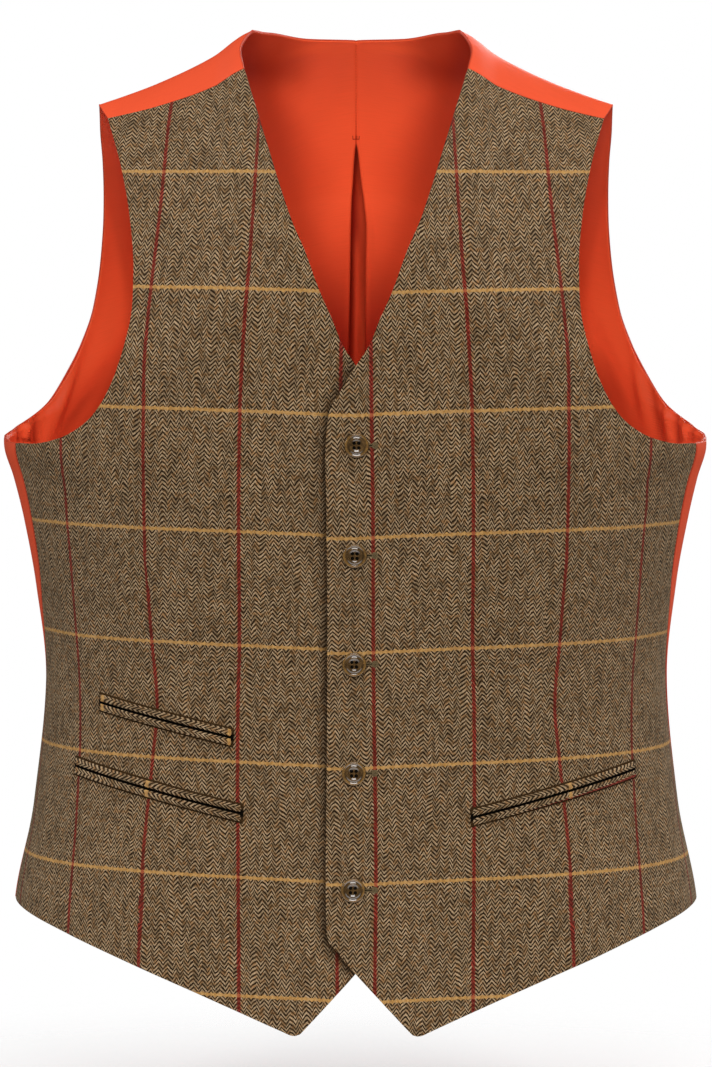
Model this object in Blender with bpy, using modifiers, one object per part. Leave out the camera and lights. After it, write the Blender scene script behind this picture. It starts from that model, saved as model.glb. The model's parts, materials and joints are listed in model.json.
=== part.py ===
"""Suit waistcoat, filled out as when it is worn: two tweed fronts, a satin back and its pleated lining.

Units are metres, with +Z up. The fronts face -Y and the wearer's left is at +X. The origin lies between
the shoulders, at the height where the wearer carries the garment.

Every cloth piece is a strip of rows across the garment. A row runs from the piece's outer edge (the
armhole, then the side seam) to its inner edge (the neck, then the centre). The ends of the rows stand in
short tables, in degrees round the body and millimetres of height, and form_point() places them in space.
"""
import math

import bmesh
import bpy
from mathutils import Matrix, Vector

MM = 0.001
NAME = "Suit_Waistcoat"

# Cloth walls and the spaces between pieces, in millimetres.
FRONT_WALL = 2.4
BACK_WALL = 1.6
LINING_WALL = 1.0
SEAM_GAP = 0.4
LAY_GAP = 0.35
LINING_GAP = 1.1

# The figure under the cloth: half the width, and the depth in front of and behind the side, at a height.
FIGURE_COLUMNS = ("height", "half_width", "front_depth", "back_depth")
FIGURE = (
    (-650, 222, 146, 100),
    (-544, 221, 146, 98),
    (-470, 208, 142, 88),
    (-387, 200, 140, 80),
    (-330, 206, 143, 84),
    (-285, 216, 146, 92),
    (-240, 226, 148, 98),
    (-200, 221, 147, 102),
    (-150, 212, 144, 103),
    (-100, 204, 140, 100),
    (-50, 198, 136, 97),
    (0, 192, 132, 94),
    (60, 184, 128, 90),
)
ROUNDNESS = 2.25

# The shoulder line: its height at a distance from the middle of the neck.
SHOULDER_COLUMNS = ("across", "height")
SHOULDER = (
    (0, 50),
    (30, 45),
    (50, 36),
    (64, 27),
    (71, 24),
    (91, 9),
    (127, -9),
    (149, -17.7),
    (164, -22.8),
    (190, -33),
    (235, -52),
)

# How far below the shoulder line the cloth reaches its full depth, and how round it turns over.
CHEST_DROP = 180
BLADE_DROP = 130
TURNOVER = 1.5
CREST = 1.3
CREST_DROP = 150
CREST_LEVELS = (35, 110)

# Rows of a front. Turn is in degrees from the centre front; below the underarm the side seam gives it.
ROW_COLUMNS = ("outer_turn", "outer_height", "inner_turn", "inner_height")
FRONT_ROWS = (
    (54.0, -32.5, 21.7, -1.0),
    (48.0, -64.4, 17.3, -41),
    (44.3, -96, 14.5, -67),
    (42.0, -127, 11.4, -95.5),
    (41.2, -154.5, 8.8, -115),
    (42.3, -182, 6.1, -140),
    (44.2, -202, 3.9, -157.5),
    (48.1, -220.7, 2.3, -172),
    (55.2, -232.5, -1.4, -194),
    (63.5, -237, -4.4, -218),
    (72.8, -238, -4.8, -246),
    (73.1, -262, -4.8, -272),
    (74.3, -293, -4.9, -300),
    (76.8, -325, -4.9, -327),
    (80.0, -352, -5.0, -352),
    (84.0, -380, -5.1, -378),
    (86.0, -407, -5.1, -404),
    (86.5, -440, -5.1, -437),
    (86.5, -474, -5.1, -472),
    (86.5, -508, -4.9, -518),
    (86.5, -522, -4.7, -538),
    (86.5, -531, -2.3, -552),
    (86.5, -536, 3.4, -577),
    (86.5, -538, 9.6, -603),
)
FRONT_UNDERARM_ROW = 10
HEM_BOW = 4.2

# Rows of a back half. Turn is in degrees from the centre back, and the first rows lie on the chest side.
BACK_ROWS = (
    (54.0, -32.5, 21.7, -1.0),
    (56.5, -26.5, 22.3, 12),
    (57.8, -23.0, 20.3, 25),
    (57.1, -39, 16.5, 23.0),
    (55.6, -60, 9.5, 19.7),
    (54.6, -82, 0.0, 18.8),
    (54.0, -106, 0.0, -18),
    (53.8, -130, 0.0, -52),
    (54.3, -155, 0.0, -86),
    (56.3, -178, 0.0, -118),
    (61.5, -201.5, 0.0, -150),
    (66.0, -217, 0.0, -174),
    (71.5, -225.5, 0.0, -198),
    (78.0, -231, 0.0, -222),
    (86.0, -235, 0.0, -246),
    (96.0, -237.8, 0.0, -270),
    (107.2, -238, 0.0, -294),
    (106.9, -262, 0.0, -314),
    (105.7, -293, 0.0, -336),
    (103.2, -325, 0.0, -358),
    (100.0, -352, 0.0, -380),
    (96.0, -380, 0.0, -402),
    (94.0, -407, 0.0, -425),
    (93.5, -440, 0.0, -453),
    (93.5, -474, 0.0, -482),
    (93.5, -508, 0.0, -513),
    (93.5, -538, 0.0, -546),
)
ROWS_BEFORE_CREST = 2
BACK_NECK_ROW = 5
BACK_UNDERARM_ROW = 16

# The lap at the centre front: the wearer's left front rises over the right one, which sinks.
LAP_RISE = 1.2
LAP_SINK = 1.6
LAP_BLEND = (22, 62)

# The box pleat down the middle of the lining: half its opening, and the ridge of its underlay.
PLEAT_COLUMNS = ("height", "half_open", "ridge")
PLEAT = (
    (-600, 4.2, 0.6),
    (-330, 4.6, 1.0),
    (-180, 5.4, 1.6),
    (-110, 5.4, 1.2),
    (-75, 3.4, 0.0),
    (-47, 1.3, 0.0),
    (40, 1.3, 0.0),
)
PLEAT_LAYER = 1.5
PLEAT_DEEP = 14
PLEAT_BLEND = (26, 74)
LINING_INSET = 1.5
LINING_HEM = 4

# Jetted pockets, as the two ends of each slit: degrees from the centre front, and height.
POCKET_COLUMNS = ("name", "hand", "outer_turn", "outer_height", "inner_turn", "inner_height", "across")
POCKETS = (
    ("pocket_ticket", -1, 53.0, -398.5, 22.4, -416.5, 10.2),
    ("pocket_right", -1, 59.7, -440.0, 20.0, -463.5, 10.2),
    ("pocket_left", 1, 59.0, -442.0, 20.3, -466.0, 9.8),
)
SLIT = 1.6
JET_WALL = 1.2
JET_CROWN = 0.4

# Buttons, down the left front's edge.
BUTTON_HEIGHTS = (-235, -303, -370, -438.5, -510.5)
BUTTON_ACROSS = -0.8
BUTTON_LIFT = 0.6
HOLE_RADIUS = 0.9
HOLE_SPACING = 3.0
BUTTON_PROFILE = (
    (0, 1.5),
    (4.6, 1.7),
    (5.3, 2.5),
    (6.3, 2.9),
    (7.2, 2.5),
    (7.55, 1.5),
    (6.9, 0.5),
    (5.0, 0.0),
    (0, 0.0),
)
BUTTON_SIDES = 24

# Mesh density: columns across a piece, and steps between two rows of its table.
FRONT_GRID = (14, 1)
BACK_GRID = (12, 1)
LINING_COLUMNS = 12
EDGE_CROWDING = 0.6
JET_GRID = (10, 3)

FRONT = -1
BACK = 1

# How finely a place on the form is worked out: rounds, and the steps that its slope is taken over.
PLACE_ROUNDS = 14
TURN_STEP = 0.004
DROP_STEP = 0.4
CHEST_LEVEL = -150
MIDDLE = Vector((0, 0, -300)) * MM


def remove_everything():
    """Empty the scene, so that the script gives the same result each time."""
    for thing in list(bpy.data.objects):
        bpy.data.objects.remove(thing, do_unlink=True)


def smooth_step(start, end, value):
    """0 before start, 1 after end, and a soft rise between them."""
    share = min(max((value - start) / (end - start), 0.0), 1.0)
    return share * share * (3 - 2 * share)


def hermite(knots, values, at):
    """A smooth curve through values at rising knots that never overshoots them."""
    last = len(knots) - 1
    at = min(max(at, knots[0]), knots[last])
    steps = [knots[i + 1] - knots[i] for i in range(last)]
    slopes = [(values[i + 1] - values[i]) / steps[i] for i in range(last)]
    tangents = [slopes[0]]
    for i in range(1, last):
        before = slopes[i - 1]
        after = slopes[i]
        if before * after <= 0:
            tangents.append(0.0)
            continue
        wide = steps[i - 1] + 2 * steps[i]
        narrow = 2 * steps[i - 1] + steps[i]
        tangents.append((wide + narrow) / (narrow / before + wide / after))
    tangents.append(slopes[-1])
    cell = 0
    while cell < last - 1 and at > knots[cell + 1]:
        cell += 1
    step = steps[cell]
    share = (at - knots[cell]) / step
    rest = 1 - share
    return (
        (1 + 2 * share) * rest ** 2 * values[cell]
        + share * rest ** 2 * step * tangents[cell]
        + share ** 2 * (3 - 2 * share) * values[cell + 1]
        - share ** 2 * rest * step * tangents[cell + 1]
    )


def read_table(rows, columns, key, column, at):
    """The value of one named column of a table at a value of its key column."""
    knots = [row[columns.index(key)] for row in rows]
    values = [row[columns.index(column)] for row in rows]
    return hermite(knots, values, at)


def half_width(height):
    return read_table(FIGURE, FIGURE_COLUMNS, "height", "half_width", height)


def depth(side, height):
    """How far the cloth stands in front of or behind the middle at a height."""
    column = "front_depth" if side == FRONT else "back_depth"
    return read_table(FIGURE, FIGURE_COLUMNS, "height", column, height)


def shoulder_height(across):
    return read_table(SHOULDER, SHOULDER_COLUMNS, "across", "height", abs(across))


def fullness(side, drop):
    """The share of its full depth that the cloth has at a drop below the shoulder line."""
    full_drop = CHEST_DROP if side == FRONT else BLADE_DROP
    share = min(max(drop / full_drop, 0.0), 1.0)
    return 1 - (1 - share ** (1 / CREST)) ** TURNOVER


def path_from_drop(drop):
    """The way down the cloth from the shoulder line, for a drop in height."""
    if drop >= CREST_DROP:
        return CREST * CREST_DROP + drop - CREST_DROP
    return CREST * CREST_DROP * (max(drop, 0.0) / CREST_DROP) ** (1 / CREST)


def drop_from_path(path):
    """The drop in height after a way down the cloth from the shoulder line."""
    if path >= CREST * CREST_DROP:
        return CREST_DROP + path - CREST * CREST_DROP
    return CREST_DROP * (path / (CREST * CREST_DROP)) ** CREST


def surface_point(side, turn, drop):
    """The cloth's place at a turn from the centre line and a drop; a negative drop is over the crest."""
    if turn > math.pi / 2:
        side = -side
    if drop < 0:
        side = -side
    sine = math.sin(turn)
    height = 0.0
    for _ in range(PLACE_ROUNDS):
        across = half_width(height) * sine
        height = shoulder_height(across) - abs(drop)
    round_share = max(1 - abs(sine) ** ROUNDNESS, 0.0) ** (1 / ROUNDNESS)
    forward = side * depth(side, height) * round_share * fullness(side, abs(drop))
    return Vector((across, forward, height))


def drop_at(turn, height):
    """The drop below the shoulder line of a point at a turn and a height."""
    return shoulder_height(half_width(height) * math.sin(turn)) - height


def outward(side, turn, drop):
    """The direction out of the cloth at a point of the form."""
    along = surface_point(side, turn + TURN_STEP, drop) - surface_point(side, turn - TURN_STEP, drop)
    down = surface_point(side, turn, drop + DROP_STEP) - surface_point(side, turn, drop - DROP_STEP)
    normal = along.cross(down).normalized()
    place = surface_point(side, turn, drop)
    middle = Vector((0, 0, min(place.z, CHEST_LEVEL)))
    if normal.dot(place - middle) < 0:
        normal.negate()
    return normal


def form_point(side, turn, drop, out):
    """A point of the form, moved out of the cloth by some millimetres."""
    return surface_point(side, turn, drop) + outward(side, turn, drop) * out


def unfold(turn):
    """The sine of a turn, kept rising past the side, so that rows run straight in a front view."""
    return math.sin(turn) if turn <= math.pi / 2 else 2 - math.sin(turn)


def signed_path(turn, height, row_index, rows_before_crest):
    """The way from the shoulder line to a row's end, negative on the rows before the crest."""
    path = path_from_drop(drop_at(turn, height))
    if row_index < rows_before_crest:
        return -path
    if row_index == rows_before_crest and rows_before_crest:
        return 0.0
    return path


def side_seam_turn(height, from_back):
    """The side seam's turn at a height, one curve for the front and the back."""
    seam = FRONT_ROWS[:FRONT_UNDERARM_ROW - 1:-1]
    turn = read_table(seam, ROW_COLUMNS, "outer_height", "outer_turn", height)
    return math.radians(180 - turn if from_back else turn)


class Panel:
    """One cloth piece as a patch of rows: at() gives its turn and drop at a column and row share."""

    def __init__(self, rows, rows_before_crest, corner_row, bow):
        self.rows = rows
        self.before_crest = rows_before_crest
        self.corner_row = corner_row
        self.bow = bow
        self.numbers = list(range(len(rows)))

    def value(self, column, row):
        """A column's value at a row number, which need not be whole; the underarm row is a corner."""
        index = ROW_COLUMNS.index(column)
        first = 0
        last = len(self.rows) - 1
        if column.startswith("outer"):
            if row <= self.corner_row:
                last = self.corner_row
            else:
                first = self.corner_row
        values = [entry[index] for entry in self.rows[first:last + 1]]
        return hermite(self.numbers[first:last + 1], values, row)

    def edge(self, which, row):
        """The turn and height of the outer or inner edge at a row number."""
        turn = math.radians(self.value(which + "_turn", row))
        height = self.value(which + "_height", row)
        if which == "outer" and row >= self.corner_row:
            turn = side_seam_turn(height, self.before_crest > 0)
        return turn, height

    def path(self, which, row):
        """The signed way from the shoulder line at an edge, smooth through the rows."""
        paths = []
        for number in self.numbers:
            turn, height = self.edge(which, number)
            paths.append(signed_path(turn, height, number, self.before_crest))
        return hermite(self.numbers, paths, row)

    def at(self, column, row, shift_outer=0.0, shift_inner=0.0):
        """The turn and signed drop at a column share (0 outer, 1 inner) and a row number."""
        outer_turn, outer_height = self.edge("outer", row)
        inner_turn, inner_height = self.edge("inner", row)
        outer_turn -= shift_outer / half_width(outer_height)
        inner_turn += shift_inner / half_width(inner_height)
        turn = outer_turn + (inner_turn - outer_turn) * column
        span = unfold(inner_turn) - unfold(outer_turn)
        share = (unfold(turn) - unfold(outer_turn)) / span
        height = outer_height + (inner_height - outer_height) * share
        last = self.numbers[-1]
        height += self.bow * 4 * share * (1 - share) * smooth_step(last - 6, last, row)
        straight_drop = drop_at(turn, height)
        outer_path = self.path("outer", row)
        inner_path = self.path("inner", row)
        path = outer_path + (inner_path - outer_path) * share
        crest_drop = math.copysign(drop_from_path(abs(path)), path)
        mean_drop = 0.5 * (drop_from_path(abs(outer_path)) + drop_from_path(abs(inner_path)))
        low = smooth_step(CREST_LEVELS[0], CREST_LEVELS[1], mean_drop)
        return turn, crest_drop + (straight_drop - crest_drop) * low


def lap_offset(hand, across):
    """How far a front stands out or in near the centre; across is positive on the front's own side."""
    near = 1 - smooth_step(LAP_BLEND[0], LAP_BLEND[1], across)
    return near * (LAP_RISE if hand > 0 else -LAP_SINK)


def front_place(hand, turn, drop, out):
    """A point on a front's outer face, moved out of it; hand mirrors the piece."""
    across = surface_point(FRONT, turn, drop).x
    place = form_point(FRONT, turn, drop, out + lap_offset(hand, across))
    return Vector((hand * place.x, place.y, place.z))


def new_material(name, colour, roughness, metallic=0.0):
    material = bpy.data.materials.new(name)
    material.use_nodes = True
    shader = material.node_tree.nodes["Principled BSDF"]
    shader.inputs["Base Color"].default_value = (*colour, 1.0)
    shader.inputs["Roughness"].default_value = roughness
    shader.inputs["Metallic"].default_value = metallic
    return material


def new_object(name, shape, material, collection):
    """A named object in the collection from a bmesh, at the world's origin."""
    mesh = bpy.data.meshes.new(name)
    shape.to_mesh(mesh)
    shape.free()
    mesh.materials.append(material)
    mesh.shade_smooth()
    thing = bpy.data.objects.new(name, mesh)
    collection.objects.link(thing)
    return thing


def new_cloth(name, shape, wall, offset, material, collection):
    """A cloth piece from an open surface; offset -1 keeps the surface as the wall's outer face.

    The surface is cut along each face's short diagonal, so that cloths that lie together stay parallel.
    """
    bmesh.ops.triangulate(shape, faces=shape.faces, quad_method="SHORT_EDGE")
    thing = new_object(name, shape, material, collection)
    modifier = thing.modifiers.new("Wall", "SOLIDIFY")
    modifier.thickness = wall * MM
    modifier.offset = offset


def face_out(shape):
    """Turn every face so that its front looks away from the garment's inside."""
    shape.normal_update()
    outside = sum(
        face.calc_area() * face.normal.dot(face.calc_center_median() - MIDDLE) for face in shape.faces
    )
    if outside < 0:
        bmesh.ops.reverse_faces(shape, faces=shape.faces)


def crowded(share):
    """A column share from 0 to 1 with the columns closer together near both edges."""
    return share - EDGE_CROWDING * math.sin(2 * math.pi * share) / (2 * math.pi)


def mapped_grid(columns, rows, place):
    """A flat grid whose points are moved to place(column share, row share)."""
    shape = bmesh.new()
    bmesh.ops.create_grid(shape, x_segments=columns, y_segments=rows, size=0.5)
    for vertex in shape.verts:
        vertex.co = place(vertex.co.x + 0.5, vertex.co.y + 0.5) * MM
    return shape


def make_front(name, hand, material, collection):
    """One front: from the shoulder seam to the pointed hem."""
    panel = Panel(FRONT_ROWS, 0, FRONT_UNDERARM_ROW, HEM_BOW)
    last = panel.numbers[-1]

    def place(column, row_share):
        turn, drop = panel.at(crowded(column), row_share * last, shift_outer=SEAM_GAP / 2)
        if row_share == 0:
            drop = drop_from_path(path_from_drop(drop) + SEAM_GAP / 2)
        return front_place(hand, turn, drop, 0.0)

    shape = mapped_grid(FRONT_GRID[0], FRONT_GRID[1] * last, place)
    face_out(shape)
    new_cloth(name, shape, FRONT_WALL, -1, material, collection)


def back_place(hand, turn, drop, out):
    """A point of the back, moved out of it; hand mirrors the piece."""
    place = form_point(BACK, turn, drop, out)
    return Vector((hand * place.x, place.y, place.z))


def make_back(name, hand, material, collection):
    """One half of the outer back: from the seam before the shoulder line to the hem."""
    panel = Panel(BACK_ROWS, ROWS_BEFORE_CREST, BACK_UNDERARM_ROW, 0.0)
    last = panel.numbers[-1]

    def place(column, row_share):
        centre_gap = SEAM_GAP / 2 if row_share * last > BACK_NECK_ROW - 0.01 else 0.0
        turn, drop = panel.at(
            crowded(column),
            row_share * last,
            shift_outer=SEAM_GAP / 2,
            shift_inner=centre_gap,
        )
        if row_share == 0:
            drop = -drop_from_path(path_from_drop(-drop) - SEAM_GAP / 2)
        return back_place(hand, turn, drop, 0.0)

    shape = mapped_grid(BACK_GRID[0], BACK_GRID[1] * last, place)
    face_out(shape)
    new_cloth(name, shape, BACK_WALL, -1, material, collection)


def pleat_path(half_open, ridge):
    """The fold from one opening edge to the middle: distance from the middle, and layers outward."""
    turn_in = PLEAT_LAYER / 2
    far = half_open + PLEAT_DEEP
    return (
        (half_open + turn_in, 0.0),
        (half_open, turn_in),
        (half_open + turn_in, 2 * turn_in),
        (0.5 * (half_open + far), 2 * turn_in),
        (far - turn_in, 2 * turn_in),
        (far, 3 * turn_in),
        (far - turn_in, 4 * turn_in),
        (0.5 * far, 4 * turn_in),
        (0.0, 4 * turn_in - ridge),
    )


def make_lining(name, material, collection):
    """The back's lining, one piece with a box pleat down its middle."""
    panel = Panel(BACK_ROWS, ROWS_BEFORE_CREST, BACK_UNDERARM_ROW, 0.0)
    last = panel.numbers[-1]
    under = BACK_WALL + LINING_GAP + LINING_WALL / 2
    fold_count = len(pleat_path(0.0, 0.0))
    half = LINING_COLUMNS + fold_count - 1

    def depth_in(across):
        near = 1 - smooth_step(PLEAT_BLEND[0], PLEAT_BLEND[1], abs(across))
        return -(under + 2 * PLEAT_LAYER * near)

    def domain(column, row):
        turn, drop = panel.at(column, row, shift_outer=LINING_INSET)
        if row < 0.01:
            drop = -drop_from_path(path_from_drop(-drop) - LINING_INSET)
        elif row <= BACK_NECK_ROW:
            drop += LINING_INSET * smooth_step(0.5, 1.0, column) * smooth_step(2.0, 3.0, row)
        if row > last - 0.01:
            drop -= LINING_HEM
        return turn, drop

    def face_place(hand, column, row):
        turn, drop = domain(column, row)
        across = surface_point(BACK, turn, drop).x
        return back_place(hand, turn, drop, depth_in(across))

    def fold_turn(row):
        _, drop = domain(1.0, row)
        height = surface_point(BACK, 0.0, drop).z
        half_open = read_table(PLEAT, PLEAT_COLUMNS, "height", "half_open", height)
        ridge = read_table(PLEAT, PLEAT_COLUMNS, "height", "ridge", height)
        return pleat_path(half_open, ridge), drop, half_width(height)

    def body_place(index, row):
        """Points of one row, numbered from the left armhole over the fold to the right armhole."""
        hand = -1 if index <= half else 1
        step = index if index <= half else 2 * half - index
        path, centre_drop, width = fold_turn(row)
        if step < LINING_COLUMNS:
            end_turn = math.asin(path[0][0] / width)
            start_turn, _ = domain(0.0, row)
            wanted = start_turn + (end_turn - start_turn) * crowded(step / LINING_COLUMNS)
            column = (start_turn - wanted) / start_turn
            return face_place(hand, column, row)
        across, layers = path[step - LINING_COLUMNS]
        turn = math.asin(across / width)
        return back_place(hand, turn, centre_drop, layers - under - 2 * PLEAT_LAYER)

    def strap_place(hand, step, row):
        """Points of a row above the neck, joined to the body's first row."""
        if row > BACK_NECK_ROW - 0.01:
            return body_place(step if hand < 0 else 2 * half - step, BACK_NECK_ROW)
        return face_place(hand, crowded(step / LINING_COLUMNS), row)

    across_count = 2 * half
    down_count = last - BACK_NECK_ROW
    whole = mapped_grid(
        across_count,
        down_count,
        lambda u, v: body_place(round(u * across_count), BACK_NECK_ROW + round(v * down_count)),
    )
    for hand in (-1, 1):
        strap = mapped_grid(
            LINING_COLUMNS,
            BACK_NECK_ROW,
            lambda u, v, hand=hand: strap_place(hand, round(u * LINING_COLUMNS), v * BACK_NECK_ROW),
        )
        part_mesh = bpy.data.meshes.new("strap")
        strap.to_mesh(part_mesh)
        strap.free()
        whole.from_mesh(part_mesh)
        bpy.data.meshes.remove(part_mesh)
    bmesh.ops.remove_doubles(whole, verts=whole.verts, dist=0.00001)
    bmesh.ops.recalc_face_normals(whole, faces=whole.faces)
    new_cloth(name, whole, LINING_WALL, 0, material, collection)


def make_jets(pocket, material, collection):
    """The two folded strips of a pocket mouth, laid on the front above and below its slit."""
    entry = dict(zip(POCKET_COLUMNS, pocket))
    hand = entry["hand"]
    outer_turn = math.radians(entry["outer_turn"])
    inner_turn = math.radians(entry["inner_turn"])
    jet_height = (entry["across"] - SLIT) / 2
    for label, sign in (("upper", 1), ("lower", -1)):

        def place(column, row_share, sign=sign):
            turn = outer_turn + (inner_turn - outer_turn) * column
            share = (unfold(turn) - unfold(outer_turn)) / (unfold(inner_turn) - unfold(outer_turn))
            centre = entry["outer_height"] + (entry["inner_height"] - entry["outer_height"]) * share
            height = centre + sign * (SLIT / 2 + jet_height * row_share)
            crown = JET_CROWN * (1 - (2 * row_share - 1) ** 2)
            out = LAY_GAP + JET_WALL + crown
            return front_place(hand, turn, drop_at(turn, height), out)

        shape = mapped_grid(JET_GRID[0], JET_GRID[1], place)
        face_out(shape)
        name = entry["name"] + "_" + label + "_jet"
        new_cloth(name, shape, JET_WALL, -1, material, collection)


def make_hole_cutter(name, collection):
    """Four pins that drill the thread holes of a button."""
    shape = bmesh.new()
    for across in (-0.5, 0.5):
        for up in (-0.5, 0.5):
            centre = Vector((across * HOLE_SPACING, up * HOLE_SPACING, 1.0)) * MM
            bmesh.ops.create_cone(
                shape,
                cap_ends=True,
                segments=8,
                radius1=HOLE_RADIUS * MM,
                radius2=HOLE_RADIUS * MM,
                depth=8 * MM,
                matrix=Matrix.Translation(centre),
            )
    mesh = bpy.data.meshes.new(name)
    shape.to_mesh(mesh)
    shape.free()
    cutter = bpy.data.objects.new(name, mesh)
    cutter.hide_render = True
    cutter.display_type = "WIRE"
    collection.objects.link(cutter)
    return cutter


def make_button(name, height, material, collection, cutters):
    """A turned button with a rim and four holes, facing out of the left front."""
    turn = math.asin(BUTTON_ACROSS / half_width(height))
    drop = drop_at(turn, height)
    normal = outward(FRONT, turn, drop)
    seat = form_point(FRONT, turn, drop, LAP_RISE + BUTTON_LIFT)
    upright = Vector((0, 0, 1))
    side = upright.cross(normal).normalized()
    up = normal.cross(side)
    frame = Matrix((side, up, normal)).transposed().to_4x4()
    frame.translation = seat * MM

    shape = bmesh.new()
    profile = [shape.verts.new((radius * MM, 0, level * MM)) for radius, level in BUTTON_PROFILE]
    for first, second in zip(profile, profile[1:]):
        shape.edges.new((first, second))
    mesh = bpy.data.meshes.new(name)
    shape.to_mesh(mesh)
    shape.free()
    mesh.materials.append(material)
    button = bpy.data.objects.new(name, mesh)
    collection.objects.link(button)
    button.matrix_world = frame
    screw = button.modifiers.new("Turned", "SCREW")
    screw.steps = BUTTON_SIDES
    screw.render_steps = BUTTON_SIDES
    screw.use_merge_vertices = True
    screw.merge_threshold = 0.00005
    screw.use_smooth_shade = True
    cutter = make_hole_cutter(name + "_holes", cutters)
    cutter.matrix_world = frame
    drill = button.modifiers.new("Thread_holes", "BOOLEAN")
    drill.operation = "DIFFERENCE"
    drill.object = cutter


def main():
    remove_everything()
    parts = bpy.data.collections.new(NAME)
    cutters = bpy.data.collections.new(NAME + "_cutters")
    bpy.context.scene.collection.children.link(parts)
    bpy.context.scene.collection.children.link(cutters)

    tweed = new_material("Tweed", (0.155, 0.105, 0.055), 0.9)
    satin = new_material("Satin", (0.75, 0.09, 0.03), 0.4)
    lining = new_material("Lining", (0.62, 0.06, 0.02), 0.42)
    horn = new_material("Horn", (0.14, 0.11, 0.07), 0.25)

    make_front("front_left", 1, tweed, parts)
    make_front("front_right", -1, tweed, parts)
    make_back("back_left", 1, satin, parts)
    make_back("back_right", -1, satin, parts)
    make_lining("back_lining", lining, parts)
    for pocket in POCKETS:
        make_jets(pocket, tweed, parts)
    for number, height in enumerate(BUTTON_HEIGHTS, start=1):
        make_button("button_" + str(number), height, horn, parts, cutters)


main()
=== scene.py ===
"""Suit waistcoat, filled out as when it is worn: the cloth, pockets, buttons and sewing of its solids.

Tables and sizes are in millimetres and degrees, except the lamps, camera, floor and cut of the cloth, which
are in metres. Meshes are in metres, +Z up. The fronts face -Y and the wearer's left is at +X. A hand is 1
for the wearer's left and -1 for the right. A cloth piece is a fine grid of rows across the garment, laid on
the same form as its solid: a row runs from the armhole or side seam to the neck or centre.
"""
import json
import math

import bmesh
import bpy
import numpy as np
from mathutils import Matrix, Vector

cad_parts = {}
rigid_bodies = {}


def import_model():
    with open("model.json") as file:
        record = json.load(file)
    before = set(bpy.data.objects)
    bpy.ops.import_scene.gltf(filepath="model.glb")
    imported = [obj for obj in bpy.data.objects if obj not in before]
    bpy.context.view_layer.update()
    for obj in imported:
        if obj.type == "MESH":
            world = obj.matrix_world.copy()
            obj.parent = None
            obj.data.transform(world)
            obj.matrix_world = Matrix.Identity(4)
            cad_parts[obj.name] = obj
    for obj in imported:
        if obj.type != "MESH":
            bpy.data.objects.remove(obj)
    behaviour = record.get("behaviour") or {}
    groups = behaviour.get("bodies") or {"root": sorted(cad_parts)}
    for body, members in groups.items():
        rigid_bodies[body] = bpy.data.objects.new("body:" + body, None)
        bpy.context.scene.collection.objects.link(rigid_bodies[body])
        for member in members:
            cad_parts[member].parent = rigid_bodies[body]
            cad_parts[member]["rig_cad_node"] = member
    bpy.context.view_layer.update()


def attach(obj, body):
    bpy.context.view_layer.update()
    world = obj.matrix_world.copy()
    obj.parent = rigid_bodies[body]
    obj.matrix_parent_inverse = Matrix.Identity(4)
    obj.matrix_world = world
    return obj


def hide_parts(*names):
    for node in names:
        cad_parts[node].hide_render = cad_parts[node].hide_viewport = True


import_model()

bl_info = {
    "name": "Suit Waistcoat",
    "version": (1, 0, 0),
    "blender": (4, 5, 0),
    "location": "3D View > Sidebar > Waistcoat",
    "description": "Builds the cloth, pockets, buttons and sewing of a suit waistcoat on its solids",
    "category": "Object",
}

MM = 0.001
BODY = "root"
FRONT = -1
BACK = 1

# The form: the solids' own tables, drawn in by about 2 mm under the arms and at the backs of the armholes.
FIGURE_COLUMNS = ("height", "half_width", "front_depth", "back_depth")
FIGURE = (
    (-650, 222, 146, 100),
    (-544, 221, 146, 98),
    (-470, 208, 142, 88),
    (-387, 200, 140, 80),
    (-330, 206, 143, 84),
    (-285, 214.5, 146, 92),
    (-262, 220, 147, 95),
    (-240, 226, 148, 98),
    (-200, 221, 147, 102),
    (-150, 212, 144, 103),
    (-100, 204, 140, 100),
    (-50, 198, 136, 97),
    (0, 192, 132, 94),
    (60, 184, 128, 90),
)
# The power of the rounded oval that each level of the form is.
ROUNDNESS = 2.25
# The shoulder line's height at a distance from the centre.
SHOULDER_COLUMNS = ("across", "height")
SHOULDER = (
    (0, 50),
    (30, 45),
    (50, 36),
    (60, 28.6),
    (66, 24.6),
    (71, 22.5),
    (78, 18.0),
    (91, 8),
    (127, -9.4),
    (149, -17.7),
    (164, -22.8),
    (190, -33),
    (235, -52),
)
# How the cloth turns over the shoulder line: the drops at its full depth, and the powers of its curve.
FULL_DROP = {FRONT: 180, BACK: 130}
TURNOVER = 1.5
CREST = 1.3
CREST_DROP = 150
CREST_LEVELS = (35, 110)
# The rows of the pieces: where each starts at the side or armhole, and ends at the neck or centre.
ROW_COLUMNS = ("outer_turn", "outer_height", "inner_turn", "inner_height")
FRONT_ROWS = (
    (54.0, -32.5, 21.7, -1.0),
    (48.0, -64.4, 17.3, -41),
    (44.3, -96, 14.5, -67),
    (42.0, -127, 11.4, -95.5),
    (41.2, -154.5, 8.8, -115),
    (42.3, -182, 6.1, -140),
    (44.2, -202, 3.9, -157.5),
    (48.1, -220.7, 2.3, -172),
    (55.2, -232.5, -1.4, -194),
    (63.5, -237, -4.4, -218),
    (72.8, -238, -4.8, -246),
    (73.1, -262, -4.8, -272),
    (74.3, -293, -4.9, -300),
    (76.8, -325, -4.9, -327),
    (80.0, -352, -5.0, -352),
    (84.0, -380, -5.1, -378),
    (86.0, -407, -5.1, -404),
    (86.5, -440, -5.1, -437),
    (86.5, -474, -5.1, -472),
    (86.5, -508, -4.9, -518),
    (86.5, -519, -4.7, -538),
    (86.5, -527, -2.3, -552),
    (86.5, -531.2, 3.4, -577),
    (86.5, -533, 9.6, -603),
)
FRONT_UNDERARM_ROW = 10
HEM_BOW = 3.5
HEM_BOW_ROWS = 6
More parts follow.
